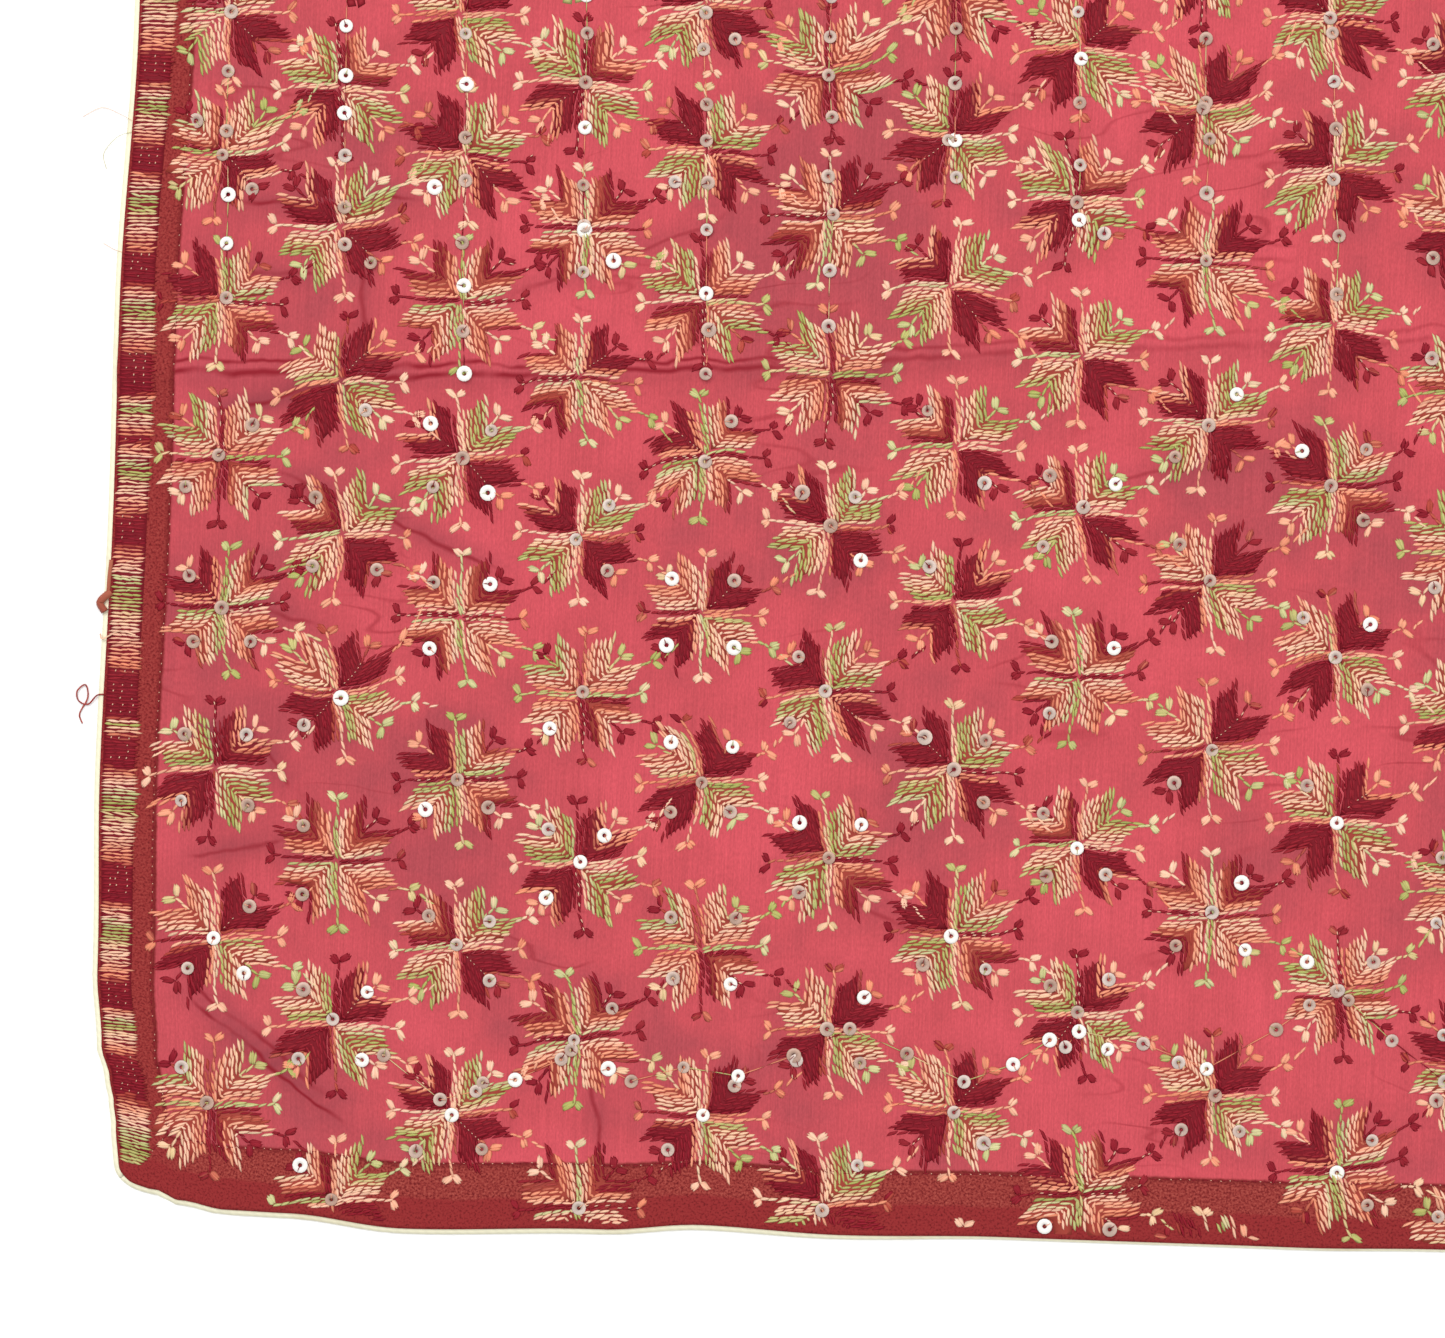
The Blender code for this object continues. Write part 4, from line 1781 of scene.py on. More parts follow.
    def diagonal_dots(self, flowers: Flowers, pattern: StarFlower) -> Stitches:
        """The same pale thread, as a row of dots down the middle of some maroon quarters.

        Args:
            flowers: the flowers.
            pattern: their pattern.

        Returns:
            The dots.
        """
        rng = np.random.default_rng(self.seed + 5)
        signs, reach = np.array(QUARTERS, float)[:, None, :], np.array(self.dots_at)[None, :, None]
        ends = [(signs * (reach + more)).reshape(-1, 2) for more in (0.0, self.dot)]
        start, stop = (flowers.lay(plan[None, :, 0], plan[None, :, 1]) for plan in ends)
        dye = self.quarter_dye(flowers, pattern)
        quarters = (dye < self.maroon_share) & (rng.random(dye.shape) < self.bobbin_share)
        shown = np.repeat(quarters, len(self.dots_at), axis=1)
        shown &= rng.random(shown.shape) < self.dots_shown
        return self.pale(start[shown], stop[shown], 0.20 * MM)

    def pale(self, start: Floats, stop: Floats, half_width: float) -> Stitches:
        """Short stitches of the pale bobbin thread, on top of the others."""
        return Stitches(start, stop, half_width, 0.3 * MM, PALE_DYE, 0.26 * MM)

    def build(self) -> Floats:
        """Sews every flower.

        Returns:
            The flowers' centres, for the sequins.
        """
        flowers, near = self.flowers()
        close, far = StarFlower(Detail.CLOSE), StarFlower(Detail.FAR)
        self.underlay("underlay_corner", flowers.pick(near), close, 9, 4)
        self.underlay("underlay_far", flowers.pick(~near), far, 5, 2)
        stars = self.on_cloth(self.sewn(flowers.pick(near), close, "star"))
        left = stars.middle()[:, 0] < self.lie.low[0] + CORNER_ACROSS * CENTRE
        self.stitcher.sew("corner_stars_left", stars.keep(left), StitchForm.LINK)
        self.stitcher.sew("corner_stars_right", stars.keep(~left), StitchForm.LINK)
        spray = self.on_cloth(self.sewn(flowers.pick(near), close, "spray"))
        dots = self.on_cloth(self.diagonal_dots(flowers.pick(near), close))
        spray = Stitches.join([spray, self.bobbin_dashes(spray), dots])
        self.stitcher.sew("corner_stems_and_vines", spray, StitchForm.LINK)
        for part, name in (("star", "far_stars"), ("spray", "far_stems_and_vines")):
            sewn = self.sewn(flowers.pick(~near), far, part)
            self.stitcher.sew(name, self.on_cloth(sewn), StitchForm.LEAF)
        return flowers.centres


@dataclass
class Sequins:
    """Flat round sequins with a hole, each held by a crossing stitch."""

    lie: Lie
    drape: Drape
    stitcher: Stitcher
    foil: Material
    radius: float = 2.12 * MM
    white_larger: float = 1.08
    hole: float = 0.60 * MM
    thick: float = 0.16 * MM
    above: float = 0.40 * MM
    string_from: float = 0.270
    string_pitch: float = 15.5 * MM
    white_share: float = 0.26
    # The share of centres and of notches with a sequin, between the strings and elsewhere
    centre_shares: tuple[float, float] = (0.25, 0.74)
    notch_shares: tuple[float, float] = (0.08, 0.60)
    notch: tuple[float, float] = (31.0, 33.0)
    thread_dyes: tuple[float, ...] = (0.10, 0.34, 0.62, 0.66, 0.955)
    crossing_dyes: tuple[float, ...] = (0.08, 0.12, 0.42, 0.76, 0.9)
    edge_margin: float = 3.5 * MM
    band_clear: float = 14.0 * MM
    seed: int = 21

    def on_flowers(self, centres: Floats) -> Floats:
        """Picks places on the flowers: most centres, and some of the notches.

        Args:
            centres: the flowers' centres.

        Returns:
            The places.
        """
        rng = np.random.default_rng(self.seed)
        along = self.lie.unsettle(*centres.T)[1]
        strung = (along > self.string_from) & (along < self.lie.length - self.string_from)
        chosen = centres[rng.random(len(centres)) < np.where(strung, *self.centre_shares)]
        made = [chosen + rng.normal(0.0, 0.8 * MM, chosen.shape)]
        for quarter in QUARTERS:
            wanted = rng.random(len(centres)) < np.where(strung, *self.notch_shares)
            notch = np.array(quarter) * self.notch * PHOTO_PIXEL
            made.append(centres[wanted] + notch + rng.normal(0.0, 0.7 * MM, (wanted.sum(), 2)))
        return np.concatenate(made)

    def strings(self) -> tuple[Floats, Floats]:
        """The strings that run up the columns: each sequin's place, and each thread's line.

        Returns:
            The sequins' places, and the threads as rows of start and stop.
        """
        field_rule = StarField(self.lie)
        rng = np.random.default_rng(self.seed + 1)
        places, threads = [], []
        for column in range(field_rule.columns):
            rows = np.linspace(-2.0, field_rule.half_rows, 2400)
            x, y = field_rule.place(np.full_like(rows, column), rows)
            start = self.lie.low[1] + self.string_from + rng.uniform(-0.02, 0.05)
            stop = self.lie.low[1] + self.lie.length - self.string_from + rng.uniform(-0.05, 0.02)
            steps = rng.uniform(0.72, 1.28, int((stop - start) / self.string_pitch) + 2)
            marks = start + np.cumsum(steps) * self.string_pitch
            marks = marks[marks < stop]
            line = np.interp(marks, y, x) + rng.normal(0.0, 0.45 * MM, len(marks)) + 0.9 * MM
            dots = np.stack([line, marks], axis=1)
            places.append(dots)
            threads.append(np.concatenate([dots[:-1], dots[1:]], axis=1))
        return np.concatenate(places), np.concatenate(threads)

    def garland(self) -> tuple[Floats, Floats]:
        """The wavy string near the bottom edge, as in the photograph.

        Returns:
            The sequins' places, and the threads as rows of start and stop.
        """
        marks = np.array([
            (93, 55), (111, 42), (122, 45), (134, 49), (148, 56), (151, 59), (170, 50), (186, 55),
            (203, 53), (220, 60), (237, 69), (255, 62), (273, 54), (288, 60), (299, 68), (304, 66),
            (308, 71), (328, 68), (348, 61), (369, 74), (379, 82), (388, 87), (391, 84), (405, 72),
            (422, 60),
        ]) * MM + np.array(self.lie.low)
        return marks, np.concatenate([marks[:-1], marks[1:]], axis=1)

    def discs(self, name: str, places: Floats, sides: int, holed: bool) -> Piece:
        """One piece of many sequins.

        A sequin is a ring of points at four radii in turn, top outer, bottom outer, bottom
        inner and top inner, closed round the hole, or a low cone where it is seen from afar.

        Args:
            name: the piece's name.
            places: the sequins' centres.
            sides: how many sides each has.
            holed: whether the hole is cut.

        Returns:
            The piece.
        """
        rng = np.random.default_rng(self.seed + sides)
        count = len(places)
        angle = np.arange(sides) * FULL_TURN / sides
        ring = np.stack([np.cos(angle), np.sin(angle)], axis=1)
        a = np.arange(sides)
        b = np.roll(a, -1)
        if holed:
            radii = (self.radius * 0.97, self.radius, self.hole, self.hole)
            plan = np.concatenate([ring * radius for radius in radii])
            up = np.repeat([self.thick, 0.0, 0.0, self.thick * 0.75], sides)
            solid = np.concatenate([
                np.stack([a + low, a + high, b + high, b + low], axis=1)
                for low, high in np.array([(0, 1), (1, 2), (2, 3), (3, 0)]) * sides
            ])
            light = np.repeat([0.92, 0.05, 0.05, 0.30], sides)
        else:
            plan = np.concatenate([ring * self.radius, [[0.0, 0.0], [0.0, 0.0]]])
            up = np.concatenate([np.full(sides, self.thick * 0.5), [self.thick, 0.0]])
            top, low = np.full(sides, sides), np.full(sides, sides + 1)
            solid = np.concatenate([np.stack([a, b, top], 1), np.stack([b, a, low], 1)])
            light = np.concatenate([np.full(sides, 0.85), [0.6, 0.05]])
        size = 1.0 + rng.normal(0.0, 0.05, (count, 1))
        lean = rng.normal(0.0, 0.075, (2, count, 1))
        white = (rng.random(count) < self.white_share)[:, None]
        size = size * np.where(white, self.white_larger, 1.0)
        x = places[:, :1] + plan[None, :, 0] * size
        y = places[:, 1:] + plan[None, :, 1] * size
        z = self.drape.top_at(*places.T)[:, None] + self.above
        z = z + up[None] + lean[0] * plan[None, :, 0] + lean[1] * plan[None, :, 1]
        points = np.stack([x, y, z], axis=2)
        faces = solid[None] + np.arange(count)[:, None, None] * len(plan)
        mesh = mesh_of(name, points.reshape(-1, 3), [faces.reshape(-1, solid.shape[1])])
        tone = np.where(white[:, 0], 0.03, rng.uniform(0.35, 0.96, count))
        # A tone swing round the ring, a shade whiter on every sequin's left side: painted light from the
        # left
        left_lit_swing = np.tile(np.cos(angle) * 0.015, len(plan) // sides + 1)[: len(plan)]
        u = np.clip(tone[:, None] + left_lit_swing[None], 0.001, 0.999)
        turned = rng.uniform(0.0, FULL_TURN, (count, 1))
        turned = turned + np.arange(len(plan))[None] * FULL_TURN / sides
        glint = np.clip(light[None] * (0.86 + 0.20 * np.cos(turned)), 0.02, 0.98)
        v = np.where(white & (light > 0.1)[None], 0.80, glint)
        map_points(mesh, "OFBake", np.stack([u, v], axis=2).reshape(-1, 2))
        return place_piece(mesh, self.foil)

    def threads(self, lines: Floats, places: Floats) -> Stitches:
        """The thin threads between strung sequins, and each sequin's crossing stitch.

        Args:
            lines: the threads, as rows of start and stop. Each is laid in two halves.
            places: the sequins' places.

        Returns:
            The stitches.
        """
        rng = np.random.default_rng(self.seed + 2)
        start, stop = lines[:, :2], lines[:, 2:]
        middle = start + (stop - start) * CENTRE
        dye = np.tile(rng.choice(self.thread_dyes, len(lines)), 2)
        ends = np.concatenate([start, middle]), np.concatenate([middle, stop])
        long_ones = Stitches(*ends, 0.27 * MM, 0.30 * MM, dye, 0.14 * MM)
        angle = rng.uniform(0.0, FULL_TURN, len(places))
        way = np.stack([np.cos(angle), np.sin(angle)], axis=1)
        ends = places - way * 0.2 * MM, places + way * self.radius * 1.05
        dye = rng.choice(self.crossing_dyes, len(places))
        crossing = Stitches(*ends, 0.20 * MM, 0.22 * MM, dye, self.above + self.thick + 0.04 * MM)
        return Stitches.join([long_ones, crossing])

    def build(self, centres: Floats) -> None:
        """Sews on every sequin.

        Args:
            centres: the stars' centres.
        """
        strung, lines = self.strings()
        wave, wave_lines = self.garland()
        places = np.concatenate([self.on_flowers(centres), strung, wave])
        lines = np.concatenate([lines, wave_lines])
        places = places[self.clear(places)]
        lines = lines[self.clear(lines[:, :2]) & self.clear(lines[:, 2:])]
        near = self.seen(places)
        self.discs("sequins_corner", places[near], 14, True)
        self.discs("sequins_far", places[~near], 8, False)
        sewn = self.threads(lines, places)
        close = self.seen(sewn.start)
        self.stitcher.sew("sequin_threads_corner", sewn.keep(close), StitchForm.LINK)
        self.stitcher.sew("sequin_threads_far", sewn.keep(~close), StitchForm.LEAF)

    def clear(self, places: Floats) -> Bools:
        """Which places are well inside the cloth's edges and clear of the band."""
        across, along = self.lie.unsettle(*places.T)
        return (self.lie.to_edge(across, along) > self.edge_margin) & (across > self.band_clear)

    def seen(self, places: Floats) -> Bools:
        """Which places are in the seen corner."""
        return in_corner(*self.lie.unsettle(*places.T))


# Edges


@dataclass
class GroundCloth:
    """The one panel of georgette over its hems."""

    lie: Lie
    drape: Drape
    material: Material
    # Painted shade round the stars, as where the cloth puffs up about them
    halo_shade: float = 0.28
    halo_shade_reach: float = 21.0 * MM
    # Painted shade towards the left edge, as where the cloth lifts off the table there
    left_edge_shade: float = 0.16
    left_shade_reach: float = 0.10
    # How much a crease, a ripple and a fold deepen the colour as painted shade, at what height in
    # full, and how deep it gets at most
    crease_share: float = 0.78
    ripple_share: float = 0.9
    fold_share: float = 0.22
    full_lift: float = 1.4 * MM
    most_lift: float = 0.85
    back_inset: float = 0.997

    def painted_star_halos(self, across: Floats, along: Floats) -> Floats:
        """Painted shade round the stars, as where the cloth puffs up about them: less the further from the
        nearest.

        Args:
            across: places across the cloth.
            along: places along it.

        Returns:
            How deep the painted shade is at each place.
        """
        x, y = self.lie.settle(across, along)
        nearest = np.full(x.shape, 1.0)
        for centre in StarField(self.lie).all():
            nearest = np.minimum(nearest, np.hypot(x - centre[0], y - centre[1]))
        return self.halo_shade * bell(nearest / self.halo_shade_reach)

    def build(self) -> Piece:
        """Lays the cloth as a closed shell on the net's lines.

        Returns:
            The piece.
        """
        across, along = np.meshgrid(self.drape.columns, self.drape.rows)
        mesh = shell("cloth_panel", self.lie, across, along, self.drape.under, self.lie.wall)
        # The lift value is how far the colour is darkened as painted shade
        soft = self.lie.creases(across, along) * self.crease_share
        soft = soft + self.lie.ripples(across, along) * self.ripple_share
        lift = (soft + self.lie.folds(across, along) * self.fold_share) / self.full_lift
        lift = lift + self.painted_star_halos(across, along) + self.left_edge_shade * np.exp(-across / self.left_shade_reach)
        lift = np.clip(lift, 0.0, self.most_lift)
        give_value(mesh, "lift", np.concatenate([lift.ravel(), lift.ravel()]))
        size = np.array([self.lie.width, self.lie.length])
        flat = np.stack([across, along], axis=-1).reshape(-1, 2) / size
        inset = CENTRE + (flat - CENTRE) * self.back_inset
        map_points(mesh, "OFBake", np.concatenate([flat, inset]))
        piece = place_piece(mesh, self.material)
        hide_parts("ground_cloth")
        return piece


@dataclass
class Edgings:
    """What lies under and along the edges: turned hems and cream tape.

    Along the bottom the tape is tucked further under, from a little way off the corner.
    """

    lie: Lie
    hem: Material
    tape: Material
    tuck: float = 0.5
    tuck_from: float = 190.0 * MM
    tuck_over: float = 110.0 * MM
    step: float = 7.0 * MM
    close_marks: tuple[float, ...] = (0.0, 2.0, 4.0, 6.0, 9.0, 13.0, 18.0, 24.0, 31.0)
    tape_under: float = 5.3 * MM
    to_hem: float = 0.4 * MM
    plain_turn: float = 0.6 * MM
    mitre_gap: float = 0.5 * MM
    floor_gap: float = 0.04 * MM

    def strip(
        self, name: str, side: str, depths: Floats, starts: Floats, stops: Floats, wall: float
    ) -> Mesh:
        """A strip along one side, with slanted ends.

        Args:
            name: the mesh's name.
            side: "left", "right", "bottom" or "top".
            depths: the strip's lines, as distances from that side.
            starts: where each line starts along the side.
            stops: where each line stops.
            wall: the strip's thickness.

        Returns:
            The mesh.
        """
        ends = np.array(self.close_marks) * MM
        whole = float(stops.max() - starts.min())
        share = np.linspace(0.0, 1.0, round(whole / self.step) + 1)
        share = np.unique(np.round(np.concatenate([share, ends / whole, 1 - ends / whole]), 6))
        run = starts[None, :] + (stops - starts)[None, :] * share[:, None]
        deep = np.broadcast_to(depths[None, :], run.shape)
        if side == "bottom":
            tucked = self.tuck * eased((run - self.tuck_from) / self.tuck_over)
            deep = np.where(deep < 0.0, deep * (1.0 - tucked), deep)
        if side == "left":
            across, along = deep, run
        elif side == "right":
            across, along = (self.lie.width - deep)[:, ::-1], run[:, ::-1]
        elif side == "bottom":
            across, along = run.T, deep.T
        else:
            across, along = run.T[::-1], (self.lie.length - deep).T[::-1]
        under = np.full(across.shape, self.floor_gap)
        return shell(name, self.lie, across, along, under, wall)

    def build(self) -> tuple[list[Piece], list[Piece]]:
        """Lays the four hems and the two tapes.

        Returns:
            The hems and the tapes.
        """
        lie = self.lie
        taped = np.linspace(self.tape_under + self.to_hem, lie.hem_depth, 4)
        deeper = np.linspace(self.tape_under + self.to_hem, lie.hem_depth + lie.bottom_deeper, 4)
        plain = np.linspace(self.plain_turn, lie.hem_depth, 4)
        wall = lie.wall - self.floor_gap
        low, high = deeper + self.mitre_gap, lie.length - plain - self.mitre_gap
        right = lie.width - plain
        hems = []
        for name, side, depths, starts, stops in (
            ("hem_turned_left", "left", taped, low, high),
            ("hem_turned_right", "right", plain, low, high),
            ("hem_turned_bottom", "bottom", deeper, taped, right),
            ("hem_turned_top", "top", plain, taped, right),
        ):
            mesh = self.strip(name, side, depths, starts, stops, wall)
            piece = place_piece(mesh, self.hem)
            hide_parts(name.replace("_turned", ""))
            hems.append(piece)
        outer = np.linspace(-lie.tape_shows, self.tape_under, 5)
        tapes = []
        for name, side, starts, stop in (
            ("tape_cream_left", "left", outer + self.mitre_gap, lie.length - self.plain_turn),
            ("tape_cream_bottom", "bottom", outer, lie.width - self.plain_turn),
        ):
            stops = np.full_like(outer, stop)
            mesh = self.strip(name, side, outer, starts, stops, wall)
            piece = place_piece(mesh, self.tape)
            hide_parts(name.replace("_cream", ""))
            tapes.append(piece)
        return hems, tapes


@dataclass
class BorderBand:
    """The dense band up the left edge: slanting rows of stitches across it, close together.

    Its thread runs through maroon blocks, as long as the photograph shows them, and lighter
    ones between. Above the seen corner the blocks are drawn at random in the same sizes.
    """

    lie: Lie
    drape: Drape
    stitcher: Stitcher
    inner: float = 0.9 * MM
    outer: float = 10.6 * MM
    first: float = 7.0 * MM
    bed_first: float = 11.0 * MM
    stop_short: float = 4.0 * MM
    pitch: float = 1.16 * MM
    far_pitch: float = 1.9 * MM
    tilt: float = 0.26 * MM
    lap: float = 0.95 * MM
    inner_ragged: float = 0.45 * MM
    outer_ragged: float = 0.4 * MM
    outer_sway: float = 0.8 * MM
    sway_length: float = 19.0 * MM
    uneven_link: float = 0.09
    uneven_row: float = 0.17 * MM
    knots_across: tuple[float, ...] = (3.1, 5.8, 8.6)
    knot_pitch: float = 2.2 * MM
    knots_shown: float = 0.75
    maroon_share: float = 0.29
    maroon: tuple[tuple[float, float], ...] = (
        (32, 48), (65, 75), (103, 117), (150, 160), (166, 182), (221, 230), (253, 255),
        (268, 281), (302, 312), (337, 345), (365, 374),
    )
    spacing: tuple[float, float] = (28.0, 45.0)
    block: tuple[float, float] = (8.0, 16.0)
    seed: int = 13

    def dye(self, along: Floats) -> Floats:
        """How far along its dye the thread is: evenly through each block, maroon or light.

        Args:
            along: places along the cloth.

        Returns:
            The whole and part cycles that the thread has run through.
        """
        rng = np.random.default_rng(self.seed)
        blocks = list(self.maroon)
        while blocks[-1][1] * MM < self.lie.length:
            start = blocks[-1][0] + rng.uniform(*self.spacing)
            blocks.append((start, start + rng.uniform(*self.block)))
        marks = np.array(blocks).ravel() * MM
        turns = np.arange(len(marks)) // 2 + np.tile([0.0, self.maroon_share], len(blocks))
        return np.interp(along, [0.0, *marks], [-0.45, *turns])

    def rows(self, start: float, stop: float, pitch: float, links: int) -> Stitches:
        """Rows of stitches across the band, uneven where they meet and at their ends.

        Args:
            start: where along the cloth the rows start.
            stop: where they stop.
            pitch: the distance between rows.
            links: how many stitches a row has.

        Returns:
            The stitches.
        """
        rng = np.random.default_rng(self.seed + links)
        along = np.arange(start, stop, pitch)
        count = len(along)
        edge = self.inner + np.abs(rng.normal(0.0, self.inner_ragged, count))
        far = self.outer + self.outer_sway * np.sin(along / self.sway_length)
        far = np.minimum(far + rng.normal(0.0, self.outer_ragged, count), along)
        share = np.tile(np.linspace(0.0, 1.0, links + 1), (count, 1))
        share[:, 1:-1] += rng.normal(0.0, self.uneven_link, (count, links - 1))
        marks = edge[:, None] + (far - edge)[:, None] * share
        level = along[:, None] + rng.normal(0.0, self.uneven_row, marks.shape)
        tilt = self.tilt * rng.normal(0.6, 0.8, (count, 1)) if links > 1 else 0.0
        size = count * links
        dye = self.dye(along)[:, None] + rng.normal(0.0, 0.012, (count, links))
        return Stitches(
            self.lie.laid(marks[:, :-1] - self.lap, level[:, :-1] - tilt),
            self.lie.laid(marks[:, 1:] + self.lap, level[:, 1:] + tilt),
            pitch * 0.54 * (1.0 + rng.normal(0.0, 0.12, size)),
            0.5 * MM * (1.0 + rng.normal(0.0, 0.15, size)),
            dye.ravel(),
        )

    def knots(self) -> Stitches:
        """The pale bobbin thread that shows as dots in the maroon stretches.

        Returns:
            The dots.
        """
        rng = np.random.default_rng(self.seed + 9)
        along = np.arange(self.first, self.lie.length - self.stop_short, self.knot_pitch)
        dye = self.dye(along) % 1.0
        along = along[(dye > 0.02) & (dye < self.maroon_share - 0.02)]
        across = np.tile(self.knots_across, len(along)) * MM
        along = np.repeat(along, len(self.knots_across))
        shown = rng.random(len(along)) < self.knots_shown
        along, across = along[shown], across[shown]
        across = across + rng.normal(0.0, 0.35 * MM, len(across))
        start = self.lie.laid(across, along)
        stop = self.lie.laid(across + 0.1 * MM, along + rng.uniform(0.5, 1.0, len(along)) * MM)
        return Stitches(start, stop, 0.27 * MM, 0.2 * MM, PALE_DYE, 0.42 * MM)

    def bed_and_shade(self) -> Piece:
        """The dark bed under the rows, maroon dimmed as painted shade between them: a low strip on the
        cloth's face.

        Returns:
            The piece.
        """
        rows = self.drape.rows
        low, high = self.bed_first, self.lie.length - self.stop_short
        along = np.concatenate([[low], rows[(rows > low + MM) & (rows < high - MM)], [high]])
        columns = np.linspace(self.inner, self.outer, 5)
        across, run = np.meshgrid(columns, along)
        under = self.drape.top(across, run) + 0.02 * MM
        mesh = shell("border_band_bed", self.lie, across, run, under, 0.14 * MM)
        bed = np.stack([across / self.outer * 0.06 + 0.03, 0.14 + (run % 0.01) * 6], axis=-1)
        bed = bed.reshape(-1, 2)
        map_points(mesh, "OFBake", np.concatenate([bed, bed * 0.98]))
        piece = place_piece(mesh, self.stitcher.thread)
        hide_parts("border_band")
        return piece

    def build(self) -> None:
        """Sews the band: its bed, the close rows of the seen corner and the rows beyond."""
        self.bed_and_shade()
        middle, end = CORNER_ALONG, self.lie.length - self.stop_short
        close = Stitches.join([self.rows(self.first, middle, self.pitch, 3), self.knots()])
        self.stitcher.sew("border_band_rows", close, StitchForm.LINK)
        self.stitcher.sew("border_band_rows_far", self.rows(middle, end, self.far_pitch, 1), StitchForm.LEAF)


@dataclass
class HemStitching:
    """The running stitch that holds the hems, with a pale dot between stitches."""

    lie: Lie
    stitcher: Stitcher
    length: float = 2.5 * MM
    pitch: float = 3.1 * MM
    gap: float = 0.1 * MM
    dot: float = 0.55 * MM
    dots_shown: float = 0.8
    seam_dye: float = 0.07
    dot_dye: float = 0.86
    inside: float = 0.7 * MM
    seed: int = 17

    def line(self, start: tuple[float, float], stop: tuple[float, float]) -> Stitches:
        """Stitches and dots along a straight line on the cloth.

        Args:
            start: where it starts, across and along.
            stop: where it stops.

        Returns:
            The stitches and the dots.
        """
        a, b = np.array(start), np.array(stop)
        way = (b - a) / np.linalg.norm(b - a)
        rng = np.random.default_rng(self.seed + int(a.sum() * 1000))
        marks = np.arange(0.0, float(np.linalg.norm(b - a)), self.pitch)
        marks = marks + rng.normal(0.0, 0.2 * MM, len(marks))
        side = np.array([-way[1], way[0]])
        drift = 0.5 * MM * np.sin(marks / 0.05) + rng.normal(0.0, 0.12 * MM, len(marks))
        begin = a + marks[:, None] * way + drift[:, None] * side
        end = begin + way * self.length
        dot = end + way * self.gap
        places = (begin, end, dot, dot + way * self.dot)
        begin, end, dot, dot_end = (self.lie.laid(*place.T) for place in places)
        seam = Stitches(begin, end, 0.26 * MM, 0.22 * MM, self.seam_dye)
        dots = Stitches(dot, dot_end, 0.22 * MM, 0.24 * MM, self.dot_dye, 0.02 * MM)
        return Stitches.join([seam, dots.keep(rng.random(len(marks)) < self.dots_shown)])

    def build(self) -> Piece:
        """Sews all four hems and the mitred corner that shows its seam.

        Returns:
            The piece.
        """
        d = self.lie.hem_depth - self.inside
        e = d + self.lie.bottom_deeper
        w, h = self.lie.width, self.lie.length
        lines = (
            ((d, e), (d, h - d)),
            ((d, e), (w - d, e)),
            ((w - d, e), (w - d, h - d)),
            ((d, h - d), (w - d, h - d)),
            ((d, e), (d * 0.38, e * 0.30)),
            ((w - d, e), (w - d * 0.3, e * 0.3)),
            ((d, h - d), (d * 0.3, h - d * 0.3)),
            ((w - d, h - d), (w - d * 0.3, h - d * 0.3)),
        )
        stitches = Stitches.join([self.line(start, stop) for start, stop in lines])
        return self.stitcher.sew("hem_stitching", stitches, StitchForm.LINK)


@dataclass(frozen=True)
class LooseThread:
    """A loose thread end: the points of its line in millimetres from the shawl's corner."""

    points: tuple[tuple[float, float, float], ...]
    radius: float
    dye: float
    light: float = 0.45


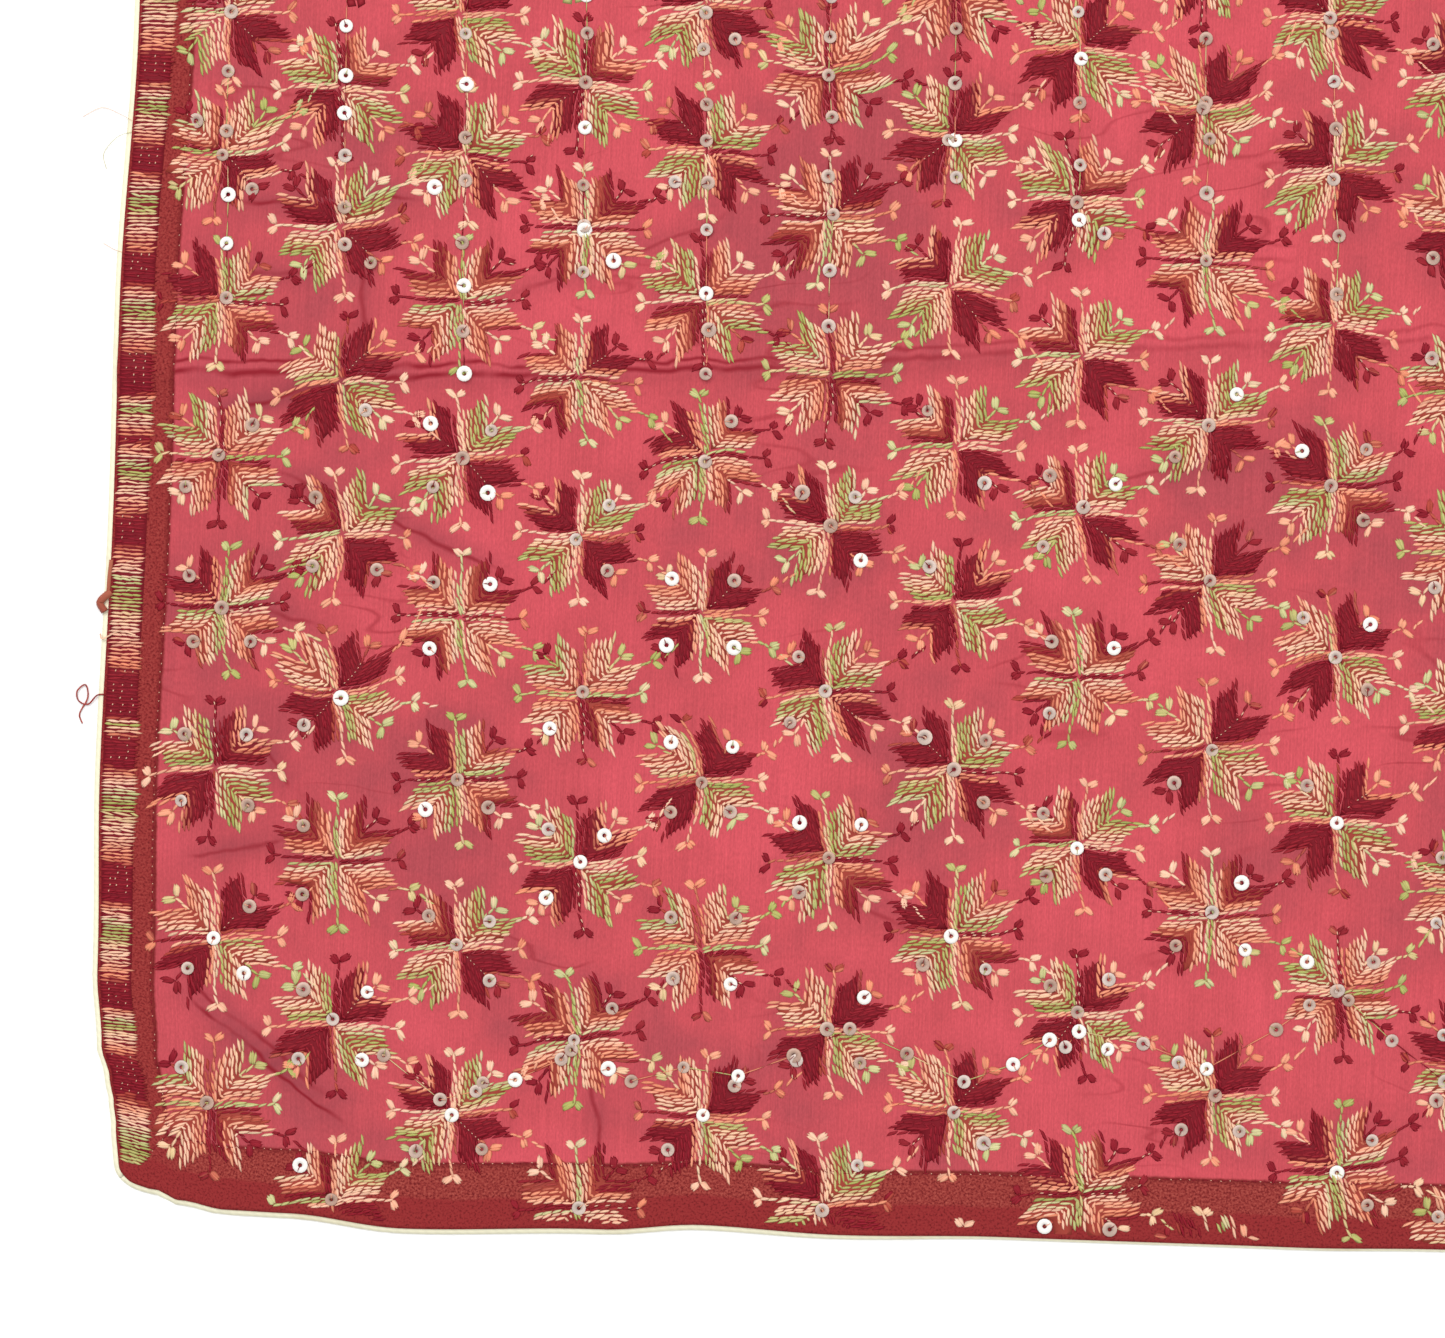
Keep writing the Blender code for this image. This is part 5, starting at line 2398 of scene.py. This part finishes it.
@dataclass
class LooseThreads:
    """The few thread ends that stray at the left edge, as the photograph shows."""

    lie: Lie
    stitcher: Stitcher
    sides: int = 5
    steps: int = 14

    def ends(self) -> tuple[LooseThread, ...]:
        """Lays each thread end one by one.

        Returns:
            The thread ends.
        """
        loop = ((4, 163, 0.9), (0, 163, 0.7), (-3, 160, 0.4), (-6, 161, 0.3), (-6.5, 164, 0.5),
                (-4, 166, 0.4), (-3.2, 162, 0.3), (-5.5, 157, 0.2), (-4.6, 154, 0.2))
        upper_hair = ((4, 341, 0.9), (0, 343, 0.6), (-6, 345, 0.3), (-12, 342, 0.2))
        lower_hair = ((4, 338, 0.9), (-1, 336, 0.5), (-5, 331, 0.2), (-4, 326, 0.2))
        short_hair = ((4, 300, 0.9), (0, 301, 0.5), (-4, 303, 0.2))
        snag = ((3, 195, 0.9), (1, 193.5, 0.8), (-0.4, 191.5, 0.7), (1.2, 189, 0.9))
        snag_end = ((2.6, 205, 1.0), (2.2, 200, 0.9), (2.1, 197, 0.9), (2.0, 193, 1.0))
        pale_end = ((11, 182, 1.2), (6, 183, 1.6), (1, 180.5, 1.4), (0, 182, 1.1))
        return (
            LooseThread(loop, 0.24, 0.276, 0.5),
            LooseThread(upper_hair, 0.08, PALE_DYE),
            LooseThread(lower_hair, 0.08, 0.80),
            LooseThread(short_hair, 0.08, PALE_DYE),
            LooseThread(snag, 1.25, 0.974, 0.01),
            LooseThread(snag_end, 0.7, 0.970, 0.01),
            LooseThread(pale_end, 0.25, PALE_DYE, 0.5),
        )

    def tube(self, thread: LooseThread) -> tuple[Floats, Ints]:
        """A closed tube along a smooth line through a thread's points.

        The line is a chain of cubic arcs through the points, the ring round each of its
        places stands square to it, and both ends close in a point.

        Args:
            thread: the thread end.

        Returns:
            The tube's points and its three-sided faces.
        """
        given = np.array(thread.points) * MM
        padded = np.concatenate([2 * given[:1] - given[1:2], given, 2 * given[-1:] - given[-2:-1]])
        t = np.linspace(0.0, 1.0, self.steps, endpoint=False)[:, None]
        arcs = []
        for a, b, c, d in zip(padded, padded[1:], padded[2:], padded[3:]):
            arcs.append(0.5 * (2 * b + (c - a) * t + (2 * a - 5 * b + 4 * c - d) * t**2
                               + (3 * b - a - 3 * c + d) * t**3))
        line = np.concatenate([*arcs, given[-1:]])
        line[:, :2] += np.array(self.lie.low)
        way = np.gradient(line, axis=0)
        way /= np.linalg.norm(way, axis=1, keepdims=True)
        side = np.cross(way, [0.0, 0.0, 1.0])
        side /= np.linalg.norm(side, axis=1, keepdims=True)
        up = np.cross(side, way)
        angle = np.arange(self.sides) * FULL_TURN / self.sides
        ring = np.cos(angle)[None, :, None] * side[:, None] + np.sin(angle)[None, :, None] * up[:, None]
        points = (line[:, None] + ring * thread.radius * MM).reshape(-1, 3)
        points[:, 2] = np.maximum(points[:, 2], 0.05 * MM)
        rows = len(line)
        number = np.arange(rows * self.sides).reshape(rows, self.sides)
        right = np.roll(number, -1, axis=1)
        low, high = number[:-1].ravel(), number[1:].ravel()
        low_right, high_right = right[:-1].ravel(), right[1:].ravel()
        faces = [np.stack([low, low_right, high_right], 1), np.stack([low, high_right, high], 1)]
        first, last = len(points), len(points) + 1
        faces.append(np.stack([right[0], number[0], np.full(self.sides, first)], 1))
        faces.append(np.stack([number[-1], right[-1], np.full(self.sides, last)], 1))
        return np.concatenate([points, line[:1], line[-1:]]), np.concatenate(faces)

    def build(self) -> Piece:
        """Makes all the loose ends as one piece.

        Returns:
            The piece.
        """
        points, faces, places, total = [], [], [], 0
        for thread in self.ends():
            tube_points, tube_faces = self.tube(thread)
            points.append(tube_points)
            faces.append(tube_faces + total)
            total += len(tube_points)
            sway = np.linspace(-0.004, 0.004, len(tube_points))
            shine = thread.light * (1.0 + 0.8 * np.sin(np.arange(len(tube_points)) * 1.3))
            places.append(np.stack([thread.dye + sway, shine], axis=1))
        mesh = mesh_of("loose_threads", np.concatenate(points), [np.concatenate(faces)])
        map_points(mesh, "OFBake", np.concatenate(places))
        return place_piece(mesh, self.stitcher.thread)


# Studio


@dataclass(frozen=True)
class SoftBox:
    """A square soft light: its place, its side in metres and its power in watts."""

    name: str
    place: tuple[float, float, float]
    size: float
    power: float


@dataclass(frozen=True)
class Studio:
    """A pale table under broad soft light, and a camera straight above the seen corner."""

    lie: Lie
    lens: float = 85.0
    sensor: float = 36.0
    table: float = 12.0
    table_level: float = -0.05 * MM
    room_light: float = 0.55
    aim: tuple[float, float, float] = (-0.1, -0.6, 0.0)
    soft_boxes: tuple[SoftBox, ...] = (
        SoftBox("softbox_upper_left", (-1.5, 0.8, 2.2), 1.8, 40.0),
        SoftBox("softbox_lower_right", (1.9, -2.2, 2.4), 2.4, 22.5),
        SoftBox("softbox_overhead", (0.0, 1.2, 3.4), 3.0, 52.0),
    )

    def floor(self) -> None:
        """The table top, as one plain sheet."""
        half = self.table / 2
        corners = [(-half, -half), (half, -half), (half, half), (-half, half)]
        points = np.array([(x, y, self.table_level) for x, y in corners])
        mesh = mesh_of("table_top", points, [np.array([[0, 1, 2, 3]])])
        white = {"Base Color": linear("#ffffff"), "Roughness": 0.9, "Specular IOR Level": 0.1}
        mesh.materials.append(Recipe("white_table").finish(white))
        floor = bpy.data.objects.new("table_top", mesh)
        bpy.context.scene.collection.objects.link(floor)

    def lights(self) -> None:
        """Three broad lights: from the upper left, the lower right and overhead, in a pale room."""
        for box in self.soft_boxes:
            lamp = bpy.data.lights.new(box.name, "AREA")
            lamp.shape = "SQUARE"
            lamp.size = box.size
            lamp.energy = box.power
            light = bpy.data.objects.new(box.name, lamp)
            bpy.context.scene.collection.objects.link(light)
            light.location = box.place
            x, y, z = np.array(self.aim) - np.array(box.place)
            light.rotation_euler = (math.atan2(math.hypot(x, y), -z), 0.0, math.atan2(y, x) - math.pi / 2)
        world = bpy.data.worlds.new("pale_room")
        world.use_nodes = True
        room = world.node_tree.nodes["Background"].inputs
        room["Color"].default_value = linear("#ffffff")
        room["Strength"].default_value = self.room_light
        bpy.context.scene.world = world

    def camera(self) -> None:
        """The camera, turned as the cloth lies in the photograph."""
        shown = PHOTO_SIZE[0] * PHOTO_PIXEL
        height = shown * self.lens / self.sensor
        data = bpy.data.cameras.new("overhead")
        data.lens = self.lens
        data.sensor_width = self.sensor
        data.clip_start = 0.05
        data.clip_end = 50.0
        camera = bpy.data.objects.new("overhead", data)
        bpy.context.scene.collection.objects.link(camera)
        x, y = self.lie.low[0] + PHOTO_MIDDLE[0], self.lie.low[1] + PHOTO_MIDDLE[1]
        camera.location = (x, y, height + self.lie.wall)
        camera.rotation_euler = (0.0, 0.0, PHOTO_TURN)
        bpy.context.scene.camera = camera

    def build(self) -> None:
        """Sets the stage, with plain colours that aren't toned down."""
        self.floor()
        self.lights()
        self.camera()
        bpy.context.scene.view_settings.view_transform = "Standard"
        bpy.context.scene.view_settings.look = "None"


def main() -> None:
    """Builds the shawl from the panel to the last loose thread."""
    logging.basicConfig(level=logging.INFO, format="%(name)s: %(message)s")
    lie = Lie()
    Studio(lie).build()
    drape = Drape(lie)
    stitcher = Stitcher(drape, VARIEGATED_THREAD.make())
    cloth = GroundCloth(lie, drape, Georgette().make(lie)).build()
    hems, tapes = Edgings(lie, HemBack().make(), EdgingTape().make()).build()
    BorderBand(lie, drape, stitcher).build()
    HemStitching(lie, stitcher).build()
    centres = Embroidery(lie, drape, stitcher).build()
    Sequins(lie, drape, replace(stitcher, seed=31), SEQUIN_FOIL.make()).build(centres)
    LooseThreads(lie, stitcher).build()


if __name__ == "__main__":
    main()
